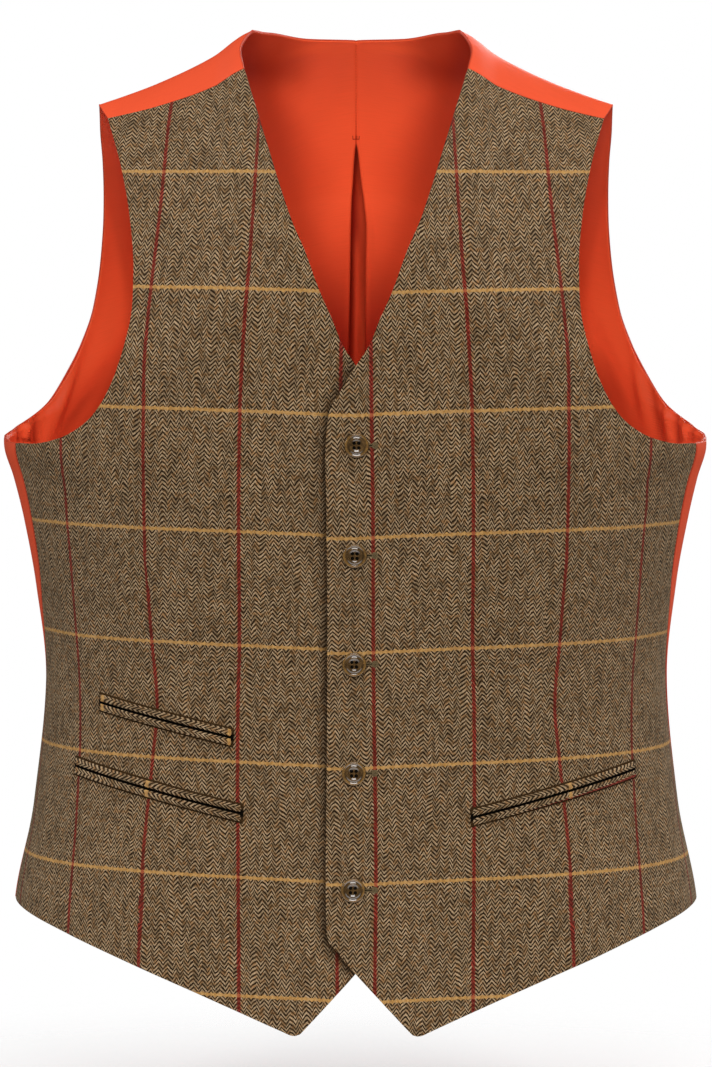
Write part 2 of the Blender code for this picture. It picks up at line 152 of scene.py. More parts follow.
BACK_ROWS = (
    (54.0, -32.5, 21.7, -1.0),
    (56.5, -26.5, 22.8, 12),
    (57.8, -23.0, 20.6, 23.7),
    (57.1, -39, 16.5, 23.0),
    (55.6, -60, 9.5, 19.7),
    (54.6, -82, 0.0, 18.8),
    (54.0, -106, 0.0, -18),
    (53.8, -130, 0.0, -52),
    (54.3, -155, 0.0, -86),
    (56.3, -178, 0.0, -118),
    (60.5, -201.5, 0.0, -150),
    (64.8, -217, 0.0, -174),
    (70.6, -225.5, 0.0, -198),
    (78.0, -231, 0.0, -222),
    (86.0, -235, 0.0, -246),
    (96.0, -237.8, 0.0, -270),
    (107.2, -238, 0.0, -294),
    (106.9, -262, 0.0, -314),
    (105.7, -293, 0.0, -336),
    (103.2, -325, 0.0, -358),
    (100.0, -352, 0.0, -380),
    (96.0, -380, 0.0, -402),
    (94.0, -407, 0.0, -425),
    (93.5, -440, 0.0, -453),
    (93.5, -474, 0.0, -482),
    (93.5, -508, 0.0, -513),
    (93.5, -533, 0.0, -546),
)
# Of the back's rows: those in front of the shoulder line, and where the neck and the underarm are.
ROWS_BEFORE_CREST = 2
BACK_NECK_ROW = 5
BACK_UNDERARM_ROW = 16
SEAM_GAP = 0.4
CENTRE_GAP = 0.06
# Where the left front lies over the right one, with the right one's soft groove beside its edge and a
# painted shadow along that groove.
LAP_OUT = {1: 1.2, -1: -1.6}
LAP_BLEND = (22, 62)
LAP_EDGE = (7.4, 21.6, 90)
LAP_REACH = 4.6
LAP_TROUGH = 1.9
LAP_SHADE = 0.8
# How finely the form is worked out: rounds to find a place, and steps to find which way it faces.
PLACE_ROUNDS = 14
TURN_STEP = 0.004
DROP_STEP = 0.4
CHEST_LEVEL = -150
MIDDLE_LEVEL = -300
# How near points of one mesh are before they are made one, in millimetres.
MERGE_APART = 0.005
SEAM_APART = 0.02

# Pockets and buttons, where the solids have them. Two golden lines cross a pocket's jets at golden_mark and
# golden_next along it, and red_start is how far across from a red line its lower jet is cut.
POCKET_COLUMNS = (
    "name",
    "hand",
    "outer_turn",
    "outer_height",
    "inner_turn",
    "inner_height",
    "across",
    "golden_mark",
    "golden_next",
    "red_start",
)
POCKETS = (
    ("pocket_ticket", -1, 53.0, -398.5, 22.4, -416.5, 10.2, 3.0, 93.8, 25.0),
    ("pocket_right", -1, 59.7, -440.0, 20.0, -463.5, 10.2, 60.2, 146.0, 25.0),
    ("pocket_left", 1, 59.0, -442.0, 20.3, -466.0, 9.8, 54.7, 140.0, 59.5),
)
# The height of a pocket's open slit.
SLIT = 1.6
BUTTON_HEIGHTS = (-234.4, -302.4, -370, -437.8, -510.2)
BUTTON_ACROSS = (0.3, -0.8, -1.1, -1.3, -1.9)
BUTTON_LIFT = 0.6

# Where the check lies on a front: the way round the cloth from the centre to each red line.
RED_LINE_COLUMNS = ("height", "first", "second", "third", "fourth")
RED_LINES = (
    (-620, 11.0, 73.0, 139.5, 195.5),
    (-557, 11.8, 73.0, 138.8, 194.2),
    (-500, 12.3, 73.4, 137.0, 191.6),
    (-432, 11.6, 73.8, 130.4, 189.4),
    (-398, 11.0, 73.6, 127.2, 190.8),
    (-357, 10.7, 72.6, 130.6, 193.4),
    (-287, 10.5, 72.8, 134.6, 195.5),
    (-214, 9.6, 71.7, 134.4, 196.8),
    (-139, 9.0, 67.8, 135.1, 198.0),
    (-66, 9.0, 65.3, 133.3, 198.0),
    (-20, 9.0, 64.2, 134.0, 198.0),
)
# How far down each golden line is at the sides, and how much lower it hangs towards the centre.
GOLDEN_COLUMNS = ("left_level", "right_level")
GOLDEN_LINES = (
    (66.3, 66.1),
    (138.8, 137.1),
    (212.0, 211.4),
    (287.9, 286.2),
    (359.3, 357.1),
    (431.0, 429.7),
    (503.0, 501.1),
    (576.5, 574.9),
)
GOLDEN_SAG = {1: 4.0, -1: 5.5}
GOLDEN_SAG_REACH = 70
GOLDEN_SAG_LEVELS = (-20, -220)
# The share of the longer way over the shoulder that the check follows, and the steps of a girth.
SHOULDER_EASE = 0.4
GIRTH_STEPS = 28

# Soft creases: a row for each, with its place, its lean from upright, and its half sizes and rise.
CREASE_COLUMNS = ("turn", "height", "lean", "length", "width", "rise")
CREASE_RADIUS = 165
# The slight unevenness of hanging cloth: waves with a rise, a width, a length and a shift.
WAVES = (
    (1.0, 23.0, 61.0, 1.0),
    (0.7, 37.0, -47.0, 2.1),
    (0.5, 15.0, 29.0, 3.3),
)
# How far it goes on each cloth, where its waves start, and where it sets in.
FRONT_WAVES = 0.16
BACK_WAVES = 0.3
LINING_WAVES = 0.22
FRONT_WAVE_START = {1: 0.4, -1: 1.7}
BACK_WAVE_START = {1: 2.9, -1: 0.8}
LINING_WAVE_START = {1: 4.2, -1: 5.6}
FRONT_SOFT_TURNS = np.radians((4, 16))
BACK_SOFT_TURNS = np.radians((0, 4))
LINING_SOFT_TURNS = np.radians((4, 12))
BACK_SOFT_LEVELS = (-20, -90)
LINING_SOFT_LEVELS = (10, -40)
LINING_SOFT_DEPTHS = (0.4, 2.4)
LEFT_FRONT_CREASES = (
    (57, -262, 64, 44, 9, -0.9),
    (50, -286, 52, 58, 11, 0.7),
    (33, -165, 8, 62, 17, -0.9),
    (24, -338, 74, 52, 10, -0.45),
    (17, -372, 84, 44, 8, 0.4),
    (66, -372, 18, 50, 13, -0.9),
    (40, -545, -12, 46, 18, 0.9),
    (64, -500, 10, 60, 14, -0.8),
)
RIGHT_FRONT_CREASES = (
    (59, -266, 60, 48, 10, -0.9),
    (48, -292, 55, 50, 12, 0.6),
    (35, -150, 5, 70, 18, -1.0),
    (22, -330, 78, 46, 9, -0.4),
    (69, -360, 14, 56, 12, -0.9),
    (34, -540, -8, 52, 20, 0.8),
    (61, -512, 14, 52, 15, -0.8),
)
LEFT_BACK_CREASES = (
    (92, -262, 12, 42, 6, -1.4),
    (84, -268, 8, 36, 5, 1.0),
    (76, -262, 16, 46, 7, -1.3),
    (64, -330, 22, 80, 12, -1.6),
    (41, -372, 9, 110, 13, -2.4),
    (27, -392, 5, 120, 12, 1.7),
    (13, -366, -4, 96, 10, -1.7),
    (36, -190, 32, 88, 15, -1.4),
    (17, -476, -6, 76, 14, 1.6),
    (58, -482, 10, 80, 15, -1.8),
)
RIGHT_BACK_CREASES = (
    (95, -264, 9, 46, 6, -1.5),
    (87, -262, 6, 38, 6, 1.1),
    (78, -266, 14, 40, 6, -1.2),
    (60, -322, 26, 72, 11, -1.7),
    (44, -384, 6, 120, 14, -2.2),
    (30, -376, 10, 98, 11, 1.9),
    (16, -398, -3, 104, 12, -1.6),
    (33, -204, 28, 74, 14, -1.5),
    (22, -470, 4, 84, 15, 1.5),
    (55, -490, 8, 70, 13, -1.7),
)
LEFT_LINING_CREASES = (
    (50.0, -198, -16, 44, 7.0, -0.8),
    (58.0, -206, -3, 34, 4.6, 3.4),
    (62.2, -226, -12, 30, 3.6, -1.0),
    (66.3, -234, -6, 26, 3.4, 3.6),
    (70.0, -234, -4, 24, 3.2, -1.0),
    (74.5, -231, 0, 20, 4.0, 3.4),
    (79.5, -236, 0, 16, 3.0, -0.8),
    (47.0, -150, -20, 60, 14, 1.0),
    (40.0, -120, 20, 60, 12, 0.9),
)
RIGHT_LINING_CREASES = (
    (47.0, -176, -34, 46, 9.0, 1.6),
    (54.5, -218, -36, 36, 5.5, -1.0),
    (59.8, -208, -18, 36, 4.6, 3.8),
    (64.5, -232, -10, 26, 3.4, 1.4),
    (69.5, -236, 0, 24, 3.6, -1.0),
    (74.0, -231, 0, 20, 3.8, 3.6),
    (79.5, -236, 0, 16, 3.0, -0.8),
    (41.0, -128, -26, 60, 13, 1.1),
    (22.0, -58, 34, 46, 12, 0.8),
)
FRONT_CREASES = {1: LEFT_FRONT_CREASES, -1: RIGHT_FRONT_CREASES}
BACK_CREASES = {1: LEFT_BACK_CREASES, -1: RIGHT_BACK_CREASES}
LINING_CREASES = {1: LEFT_LINING_CREASES, -1: RIGHT_LINING_CREASES}

# The lining's box pleat: its opening on the wearer's left and right, and the ridge of its underlay.
PLEAT_COLUMNS = ("height", "open_left", "open_right", "ridge")
PLEAT = (
    (-600, 6.6, 4.6, 1.0),
    (-330, 6.6, 4.4, 1.6),
    (-180, 6.2, 4.7, 2.6),
    (-128, 6.5, 3.9, 2.4),
    (-101, 6.8, 3.5, 0.8),
    (-85, 5.3, 3.0, 0.0),
    (-71, 3.8, 2.4, 0.0),
    (-59, 2.6, 1.9, 0.0),
    (-48, 1.5, 1.1, 0.0),
    (-42.5, 0.3, 0.3, 0.0),
    (40, 0.1, 0.1, 0.0),
)
PLEAT_THIN = (10, -60)
PLEAT_DEEP = 14
PLEAT_BLEND = (16, 80)
TACK_LEVEL = -40.9
# Painted light in the pleat: the heights below which its ridge is painted lighter, and that lit strip's
# place and reach.
PLEAT_LIT = (-100, -124)
PLEAT_LIT_ACROSS = 0.6
PLEAT_LIT_REACH = 2.4

# The dart's seam on each front. It takes in the cloth between two red lines: the one numbered DART_SPAN,
# counted from 0 at the centre, and the next.
DART_COLUMNS = ("height", "left_turn", "right_turn")
DART = (
    (-575, 40.2, 40.9),
    (-531, 38.7, 39.5),
    (-450, 36.6, 37.2),
    (-372, 35.5, 36.3),
    (-330, 35.2, 38.3),
    (-300, 35.1, 39.4),
)
DART_STARTS = (-292, -332)
DART_ENDS = (-510, -560)
DART_SPAN = 1
DART_SINK = 0.6
DART_HALF = 1.1
DART_SHARES = (0.3, 0.7)
DART_SAMPLES = 12
DART_ROUNDS = 3

# Mesh density: columns across a piece and steps between two rows of its table.
FRONT_GRID = (128, 11)
BACK_GRID = (72, 9)
LINING_GRID = (56, 8)
EDGE_CROWDING = 0.35
FOLD_ARC_STEPS = 5
FOLD_FLAT_STEPS = 5
FOLD_FACE_STEPS = 20
# The part of a row step that counts as the first row, and the part of a share that rounding may add.
FIRST_ROW = 0.01
ROUND_OFF = 1e-6
# Edges sharper than these angles are rounded or shown sharp.
TURNED_ANGLE = 50
WORN_ANGLE = 40
BUTTON_ANGLE = 38
THREAD_ANGLE = 40

# The turned button, from its middle out over the rim and back under.
BUTTON_PROFILE = (
    (0.0, 1.55),
    (1.4, 1.56),
    (2.3, 1.60),
    (2.8, 1.72),
    (3.2, 1.93),
    (3.6, 2.17),
    (4.0, 2.37),
    (4.3, 2.44),
    (4.6, 2.36),
    (4.95, 2.13),
    (5.3, 1.90),
    (5.5, 1.84),
    (5.7, 1.90),
    (6.1, 2.12),
    (6.5, 2.33),
    (6.8, 2.40),
    (7.05, 2.34),
    (7.3, 2.10),
    (7.5, 1.74),
    (7.6, 1.26),
    (7.53, 0.85),
    (7.1, 0.45),
    (6.4, 0.16),
    (5.4, 0.0),
    (0.0, 0.0),
)
BUTTON_SIDES = 72
PROFILE_STEPS = 3
HOLE_SIDES = 20
DRILL_LEVELS = (-2, 5)
WORN_EDGE = 0.12
# Where its colour changes, by radius: at the groove's two sides, which get a painted shade, towards the
# rim, and at the edge, which gets a painted contact shadow.
GROOVE_RADII = (5.1, 5.5)
GROOVE_SOFT = 0.4
RIM_RADII = (5.4, 6.6)
EDGE_RADII = (6.9, 7.5)
BUTTON_CHART_STEP = 0.1
# Its thread: a shank between button and cloth, and a plug in each hole.
SHANK_RADIUS = 2.3
SHANK_SINK = 0.3
SHANK_TOP = -0.02
SHANK_SIDES = 24
PLUG_FILL = 0.93
PLUG_LEVELS = (-0.2, 0.85)
PLUG_SIDES = 12


def context_sizes():
    return bpy.context.scene.waistcoat_sizes


def context_colours():
    return bpy.context.scene.waistcoat_colours


def side_name(hand):
    return "left" if hand > 0 else "right"


def smooth_step(start, end, value):
    """0 before start, 1 after end, and a soft rise between them."""
    share = np.clip((value - start) / (end - start), 0.0, 1.0)
    return share * share * (3 - 2 * share)


def hermite(knots, values, at):
    """A smooth curve through values at rising knots that never overshoots them."""
    knots = np.asarray(knots, float)
    values = np.asarray(values, float)
    at = np.clip(at, knots[0], knots[-1])
    steps = np.diff(knots)
    slopes = np.diff(values) / steps
    before = slopes[:-1]
    after = slopes[1:]
    wide = steps[:-1] + 2 * steps[1:]
    narrow = 2 * steps[:-1] + steps[1:]
    with np.errstate(divide="ignore", invalid="ignore"):
        mean = (wide + narrow) / (narrow / before + wide / after)
    inner = np.where(before * after > 0, mean, 0.0)
    tangents = np.concatenate((slopes[:1], inner, slopes[-1:]))
    cell = np.clip(np.searchsorted(knots, at, side="right") - 1, 0, len(steps) - 1)
    step = steps[cell]
    share = (at - knots[cell]) / step
    rest = 1 - share
    return (
        (1 + 2 * share) * rest ** 2 * values[cell]
        + share * rest ** 2 * step * tangents[cell]
        + share ** 2 * (3 - 2 * share) * values[cell + 1]
        - share ** 2 * rest * step * tangents[cell + 1]
    )


def read_table(rows, columns, key, column, at):
    """The value of one named column of a table at values of its key column."""
    knots = [row[columns.index(key)] for row in rows]
    values = [row[columns.index(column)] for row in rows]
    return hermite(knots, values, at)


def half_width(height):
    return read_table(FIGURE, FIGURE_COLUMNS, "height", "half_width", height)


def depth(side, height):
    """How far the cloth stands in front of or behind the middle at a height."""
    column = "front_depth" if side == FRONT else "back_depth"
    return read_table(FIGURE, FIGURE_COLUMNS, "height", column, height)


def shoulder_height(across):
    return read_table(SHOULDER, SHOULDER_COLUMNS, "across", "height", np.abs(across))


def fullness(side, drop):
    """The share of its full depth that the cloth has at a drop below the shoulder line."""
    share = np.clip(drop / FULL_DROP[side], 0.0, 1.0)
    return 1 - (1 - share ** (1 / CREST)) ** TURNOVER


def path_from_drop(drop):
    """The way down the cloth from the shoulder line, for a drop in height."""
    near = CREST * CREST_DROP * (np.maximum(drop, 0.0) / CREST_DROP) ** (1 / CREST)
    return np.where(drop >= CREST_DROP, CREST * CREST_DROP + drop - CREST_DROP, near)


def drop_from_path(path):
    """The drop in height after a way down the cloth from the shoulder line."""
    whole = CREST * CREST_DROP
    near = CREST_DROP * (np.maximum(path, 0.0) / whole) ** CREST
    return np.where(path >= whole, CREST_DROP + path - whole, near)


def surface(side, turn, drop):
    """The cloth's places at turns from the centre line and drops; a negative drop is over the crest."""
    turn, drop = np.broadcast_arrays(np.asarray(turn, float), np.asarray(drop, float))
    sign = side * np.where(turn > math.pi / 2, -1, 1) * np.where(drop < 0, -1, 1)
    fall = np.abs(drop)
    sine = np.sin(turn)
    height = np.zeros_like(turn)
    for _ in range(PLACE_ROUNDS):
        across = half_width(height) * sine
        height = shoulder_height(across) - fall
    round_share = np.maximum(1 - np.abs(sine) ** ROUNDNESS, 0.0) ** (1 / ROUNDNESS)
    front = depth(FRONT, height) * fullness(FRONT, fall)
    behind = depth(BACK, height) * fullness(BACK, fall)
    forward = sign * round_share * np.where(sign < 0, front, behind)
    return np.stack((across, forward, height), axis=-1)


def drop_at(turn, height):
    """The drop below the shoulder line of points at a turn and a height."""
    return shoulder_height(half_width(height) * np.sin(turn)) - height


def outward(side, turn, drop):
    """The direction out of the cloth at points of the form."""
    along = surface(side, turn + TURN_STEP, drop) - surface(side, turn - TURN_STEP, drop)
    down = surface(side, turn, drop + DROP_STEP) - surface(side, turn, drop - DROP_STEP)
    normal = np.cross(along, down)
    normal /= np.linalg.norm(normal, axis=-1, keepdims=True)
    place = surface(side, turn, drop)
    middle = np.zeros_like(place)
    middle[..., 2] = np.minimum(place[..., 2], CHEST_LEVEL)
    inside = np.sum(normal * (place - middle), axis=-1, keepdims=True) < 0
    return np.where(inside, -normal, normal)


def form_place(side, hand, turn, drop, out):
    """Points of the form, moved out of the cloth; hand mirrors the piece."""
    place = surface(side, turn, drop) + outward(side, turn, drop) * np.asarray(out, float)[..., None]
    return place * np.array((hand, 1, 1))


def unfold(turn):
    """The sine of a turn, kept rising past the side, so that rows run straight in a front view."""
    return np.where(turn <= math.pi / 2, np.sin(turn), 2 - np.sin(turn))


def side_seam_turn(height, from_back):
    """The side seam's turn at a height, one curve for the front and the back."""
    seam = FRONT_ROWS[:FRONT_UNDERARM_ROW - 1:-1]
    turn = read_table(seam, ROW_COLUMNS, "outer_height", "outer_turn", height)
    return np.radians(180 - turn if from_back else turn)


class Panel:
    """One cloth piece as rows of a table: at() gives its turn and drop at column shares and row numbers."""

    def __init__(self, rows, rows_before_crest, corner_row, bow):
        self.rows = rows
        self.before_crest = rows_before_crest
        self.corner_row = corner_row
        self.bow = bow
        self.last = len(rows) - 1
        self.numbers = np.arange(len(rows))

    def value(self, column, row):
        """A column's value at row numbers, which need not be whole; the underarm row is a corner."""
        values = np.array([entry[ROW_COLUMNS.index(column)] for entry in self.rows], float)
        if not column.startswith("outer"):
            return hermite(self.numbers, values, row)
        corner = self.corner_row
        above = hermite(self.numbers[:corner + 1], values[:corner + 1], row)
        below = hermite(self.numbers[corner:], values[corner:], row)
        return np.where(row <= corner, above, below)

    def edge(self, which, row):
        """The turn and height of the outer or inner edge at row numbers."""
        turn = np.radians(self.value(which + "_turn", row))
        height = self.value(which + "_height", row)
        if which == "outer":
            seam = side_seam_turn(height, self.before_crest > 0)
            turn = np.where(row >= self.corner_row, seam, turn)
        return turn, height

    def path(self, which, row):
        """The signed way from the shoulder line at an edge, smooth through the rows."""
        turn, height = self.edge(which, self.numbers.astype(float))
        paths = path_from_drop(drop_at(turn, height))
        if not self.before_crest:
            return hermite(self.numbers, paths, row)
        smooth = hermite(self.numbers, paths * np.sign(self.numbers - self.before_crest), row)
        if which == "outer":
            return smooth
        turn, height = self.edge(which, row)
        exact = path_from_drop(drop_at(turn, height))
        past_crest = smooth_step(self.before_crest + 0.5, self.before_crest + 1, row)
        return smooth + (exact - smooth) * past_crest

    def at(self, column, row, shift_outer=0.0, shift_inner=0.0):
        """The turn and signed drop at column shares (0 outer, 1 inner) and row numbers."""
        outer_turn, outer_height = self.edge("outer", row)
        inner_turn, inner_height = self.edge("inner", row)
        outer_turn = outer_turn - shift_outer / half_width(outer_height)
        inner_turn = inner_turn + shift_inner / half_width(inner_height)
        turn = outer_turn + (inner_turn - outer_turn) * column
        span = unfold(inner_turn) - unfold(outer_turn)
        share = (unfold(turn) - unfold(outer_turn)) / span
        height = outer_height + (inner_height - outer_height) * share
        low_rows = smooth_step(self.last - HEM_BOW_ROWS, self.last, row)
        height = height + self.bow * 4 * share * (1 - share) * low_rows
        straight_drop = drop_at(turn, height)
        outer_path = self.path("outer", row)
        inner_path = self.path("inner", row)
        path = outer_path + (inner_path - outer_path) * share
        crest_drop = np.copysign(drop_from_path(np.abs(path)), path)
        mean_drop = 0.5 * (drop_from_path(np.abs(outer_path)) + drop_from_path(np.abs(inner_path)))
        low = smooth_step(CREST_LEVELS[0], CREST_LEVELS[1], mean_drop)
        return turn, crest_drop + (straight_drop - crest_drop) * low


FRONT_PANEL = Panel(FRONT_ROWS, 0, FRONT_UNDERARM_ROW, HEM_BOW)
BACK_PANEL = Panel(BACK_ROWS, ROWS_BEFORE_CREST, BACK_UNDERARM_ROW, 0.0)


def lap_offset(hand, across):
    """How far a front stands out or in near the centre; across is positive on the front's own side."""
    near = 1 - smooth_step(LAP_BLEND[0], LAP_BLEND[1], across)
    return near * LAP_OUT[hand]


def lap_line():
    """The left front's inner edge where it lies over the right one, in the right one's own measure."""
    turn, height = FRONT_PANEL.edge("inner", np.linspace(*LAP_EDGE))
    return -half_width(height) * np.sin(turn), height


LAP_LINE = lap_line()


def beside_lap(hand, across, height):
    """How near points of the right front are to the left one's edge: 1 along it, 0 far from it."""
    if hand > 0:
        return np.zeros_like(across)
    away = np.hypot(across[..., None] - LAP_LINE[0], height[..., None] - LAP_LINE[1]).min(axis=-1)
    return np.exp(-((away / LAP_REACH) ** 2))


def crease_lift(creases, turn, height):
    """How far soft creases lift or sink the cloth at turns and heights."""
    lift = np.zeros_like(turn)
    for crease in creases:
        entry = dict(zip(CREASE_COLUMNS, crease))
        lean = math.radians(entry["lean"])
        across = (turn - math.radians(entry["turn"])) * CREASE_RADIUS
        up = height - entry["height"]
        along = up * math.cos(lean) + across * math.sin(lean)
        beside = across * math.cos(lean) - up * math.sin(lean)
        reach = (along / entry["length"]) ** 2
        lift += entry["rise"] * np.exp(-reach - (beside / entry["width"]) ** 2)
    return lift


def uneven(turn, height, start):
    """The slight unevenness of cloth that hangs: long shallow waves that never repeat in step."""
    across = turn * CREASE_RADIUS
    whole = np.zeros_like(across)
    for rise, wide, long, shift in WAVES:
        whole += rise * np.sin(across / wide + height / long + shift * start)
    return whole


def front_creases(hand, turn, height):
    """How far a front's creases and unevenness lift it, away from its lapped edge."""
    away = smooth_step(*FRONT_SOFT_TURNS, turn)
    creases = crease_lift(FRONT_CREASES[hand], turn, height)
    waves = FRONT_WAVES * uneven(turn, height, FRONT_WAVE_START[hand])
    return context_sizes().crease_share * (creases * away + waves * away)


def dart_turn(hand, height):
    """The turn of a front's dart seam at a height."""
    return np.radians(read_table(DART, DART_COLUMNS, "height", side_name(hand) + "_turn", height))


def dart_share(height):
    """How much of the dart is sewn at a height: it runs out to nothing at both ends."""
    return smooth_step(*DART_STARTS, height) * (1 - smooth_step(*DART_ENDS, height))


def dart_sink(hand, turn, height):
    """How far the dart's seam draws the cloth in."""
    beside = (turn - dart_turn(hand, height)) * CREASE_RADIUS / DART_HALF
    return DART_SINK * dart_share(height) * np.exp(-beside ** 2)


def follow_dart(hand, panel, column, row):
    """Move column shares so that the middle column runs along the dart's seam."""
    rows = np.linspace(0, panel.last, DART_SAMPLES * panel.last + 1)
    outer, _ = panel.edge("outer", rows)
    inner, _ = panel.edge("inner", rows)
    share = np.full_like(rows, 0.5)
    for _ in range(DART_ROUNDS):
        turn, drop = panel.at(share, rows)
        height = surface(FRONT, turn, drop)[..., 2]
        share = np.clip((outer - dart_turn(hand, height)) / (outer - inner), *DART_SHARES)
    middle = np.interp(row, rows, share)
    return column + (middle - 0.5) * 2 * np.minimum(column, 1 - column)


def front_place(hand, turn, drop, out):
    """Points on a front's outer face, moved out of it."""
    place = surface(FRONT, turn, drop)
    lift = lap_offset(hand, place[..., 0]) + front_creases(hand, turn, place[..., 2])
    lift = lift - LAP_TROUGH * beside_lap(hand, place[..., 0], place[..., 2])
    lift = lift - dart_sink(hand, turn, place[..., 2])
    return form_place(FRONT, hand, turn, drop, out + lift)


def on_front(hand, across, height, out):
    """Points on a front at a distance from the centre, to its own side, and a height."""
    turn = np.arcsin(across / half_width(height))
    return front_place(hand, turn, drop_at(turn, height), out)


def girth(turn, height):
    """The way round the cloth of a front, from the centre to a turn, at a height."""
    shares = np.linspace(0, 1, GIRTH_STEPS)[:, None]
    turns = shares * turn[None, :]
    heights = np.broadcast_to(height, turns.shape)
    across = half_width(heights) * np.sin(turns)
    drop = np.maximum(shoulder_height(across) - heights, 0.0)
    round_share = np.maximum(1 - np.abs(np.sin(turns)) ** ROUNDNESS, 0.0) ** (1 / ROUNDNESS)
    forward = depth(FRONT, heights) * round_share * fullness(FRONT, drop)
    way = np.hypot(np.diff(across, axis=0), np.diff(forward, axis=0)).sum(axis=0)
    return np.copysign(way, turn)


def check_chart(hand, turn, drop, beyond_dart):
    """Where points of a front lie on its cloth: across from its first red line, down from its first golden.

    The dart takes cloth in along its seam, so the two sides of it have a chart each, one beyond the dart.
    """
    sizes = context_sizes()
    pitch = sizes.red_pitch / MM
    height = surface(FRONT, turn, drop)[..., 2]
    way = girth(turn, height)
    lines = [
        read_table(RED_LINES, RED_LINE_COLUMNS, "height", column, height)
        for column in RED_LINE_COLUMNS[1:]
    ]
    across = way - lines[0]
    for number, (line, following) in enumerate(zip(lines, lines[1:])):
        within = pitch * (number + (way - line) / (following - line))
        if number == DART_SPAN:
            sewn = pitch * (number + 1) + way - following if beyond_dart else pitch * number + way - line
            within = within + (sewn - within) * dart_share(height)
        across = np.where(way >= line, within, across)
    across = np.where(way >= lines[-1], pitch * (len(lines) - 1) + way - lines[-1], across)

    sag = GOLDEN_SAG[hand] * smooth_step(*GOLDEN_SAG_LEVELS, height)
    level = -height - sag * np.exp(-np.maximum(way, 0.0) / GOLDEN_SAG_REACH)
    column = GOLDEN_COLUMNS.index(side_name(hand) + "_level")
    golden = np.array([entry[column] for entry in GOLDEN_LINES])
    step = sizes.golden_pitch / MM
    down = np.interp(level, golden, step * np.arange(len(golden)))
    down = np.where(level > golden[-1], down + level - golden[-1], down)
    above = golden[0] - level
    crest = height + drop
    longer = path_from_drop(crest + golden[0]) - path_from_drop(drop)
    eased = above + SHOULDER_EASE * np.maximum(longer - above, 0.0)
    down = np.where(above > 0, -eased, down)
    return np.stack((across, down), axis=-1) * MM


def crowded(share):
    """A column share from 0 to 1 with the columns closer together near both edges."""
    return share - EDGE_CROWDING * np.sin(2 * math.pi * share) / (2 * math.pi)


def grid_shares(columns, rows):
    """A flat bmesh grid and the shares, from 0 to 1, of its points across and down it."""
    shape = bmesh.new()
    bmesh.ops.create_grid(shape, x_segments=columns, y_segments=rows, size=0.5)
    shape.verts.ensure_lookup_table()
    places = np.array([vertex.co[:2] for vertex in shape.verts]) + 0.5
    return shape, places[:, 0], places[:, 1]


def lay_grid(shape, points, chart, shade=None):
    """Move a grid's points to their places, in millimetres, and give it its chart and its painted shade."""
    for vertex, point in zip(shape.verts, points * MM):
        vertex.co = point
    if shade is not None:
        shade_layer = shape.verts.layers.float.new("Shade")
        for vertex, value in zip(shape.verts, shade):
            vertex[shade_layer] = value
    shape.verts.index_update()
    layer = shape.loops.layers.uv.new("Cloth")
    for face in shape.faces:
        for corner in face.loops:
            corner[layer].uv = chart[corner.vert.index]


def split_chart(shape, across, chart):
    """Give a second chart to the faces beyond the middle column, so that the weave breaks along it."""
    layer = shape.loops.layers.uv["Cloth"]
    for face in shape.faces:
        if max(across[vertex.index] for vertex in face.verts) < 0.5 + ROUND_OFF:
            for corner in face.loops:
                corner[layer].uv = chart[corner.vert.index]


def face_outside(shape):
    """Turn every face so that its front looks away from the garment's inside."""
    middle = Vector((0, 0, MIDDLE_LEVEL)) * MM
    shape.normal_update()
    outside = 0.0
    for face in shape.faces:
        outside += face.calc_area() * face.normal.dot(face.calc_center_median() - middle)
    if outside < 0:
        bmesh.ops.reverse_faces(shape, faces=shape.faces)


def close_seams(shape, apart=MERGE_APART):
    """Make one of the points that meet along a shape's seams, and turn its faces outwards."""
    bmesh.ops.remove_doubles(shape, verts=shape.verts, dist=apart * MM)
    bmesh.ops.recalc_face_normals(shape, faces=shape.faces)


def join(whole, part):
    """Add a part to a whole bmesh, and free the part."""
    mesh = bpy.data.meshes.new("part")
    part.to_mesh(mesh)
    part.free()
    whole.from_mesh(mesh)
    bpy.data.meshes.remove(mesh)


def add_object(name, shape, materials=()):
    """A mesh object in the scene from a bmesh, which is freed."""
    mesh = bpy.data.meshes.new(name)
    shape.to_mesh(mesh)
    shape.free()
    for material in materials:
        mesh.materials.append(material)
    thing = bpy.data.objects.new(name, mesh)
    bpy.context.scene.collection.objects.link(thing)
    return thing


def add_piece(name, shape, materials, replaced=()):
    """A named piece from a bmesh, which rides on the garment's body and stands for solids."""
    piece = add_object(name, shape, materials)
    piece.data.shade_smooth()
    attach(piece, BODY)
    if replaced:
        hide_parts(*replaced)
    return piece


def add_rounding(piece, name, width, angle):
    """Round a piece's edges that are sharper than an angle."""
    rounding = piece.modifiers.new(name, "BEVEL")
    rounding.width = width
    rounding.segments = 2
    rounding.limit_method = "ANGLE"
    rounding.angle_limit = math.radians(angle)


def add_wall(piece, thickness, offset=-1, inner_material=0, edge=0):
    """Give a cloth its thickness, its inner face's finish, and a rounded turned edge."""
    wall = piece.modifiers.new("Wall", "SOLIDIFY")
    wall.thickness = thickness
    wall.offset = offset
    wall.material_offset = inner_material
    if edge:
        add_rounding(piece, "Turned edge", edge, TURNED_ANGLE)


# The hem's round corners, and how far down the cloth one row step goes at each edge there.
CORNER_RADIUS = 3.0
CORNER_ROW_STEP = {"outer": 5.0, "inner": 26.0}


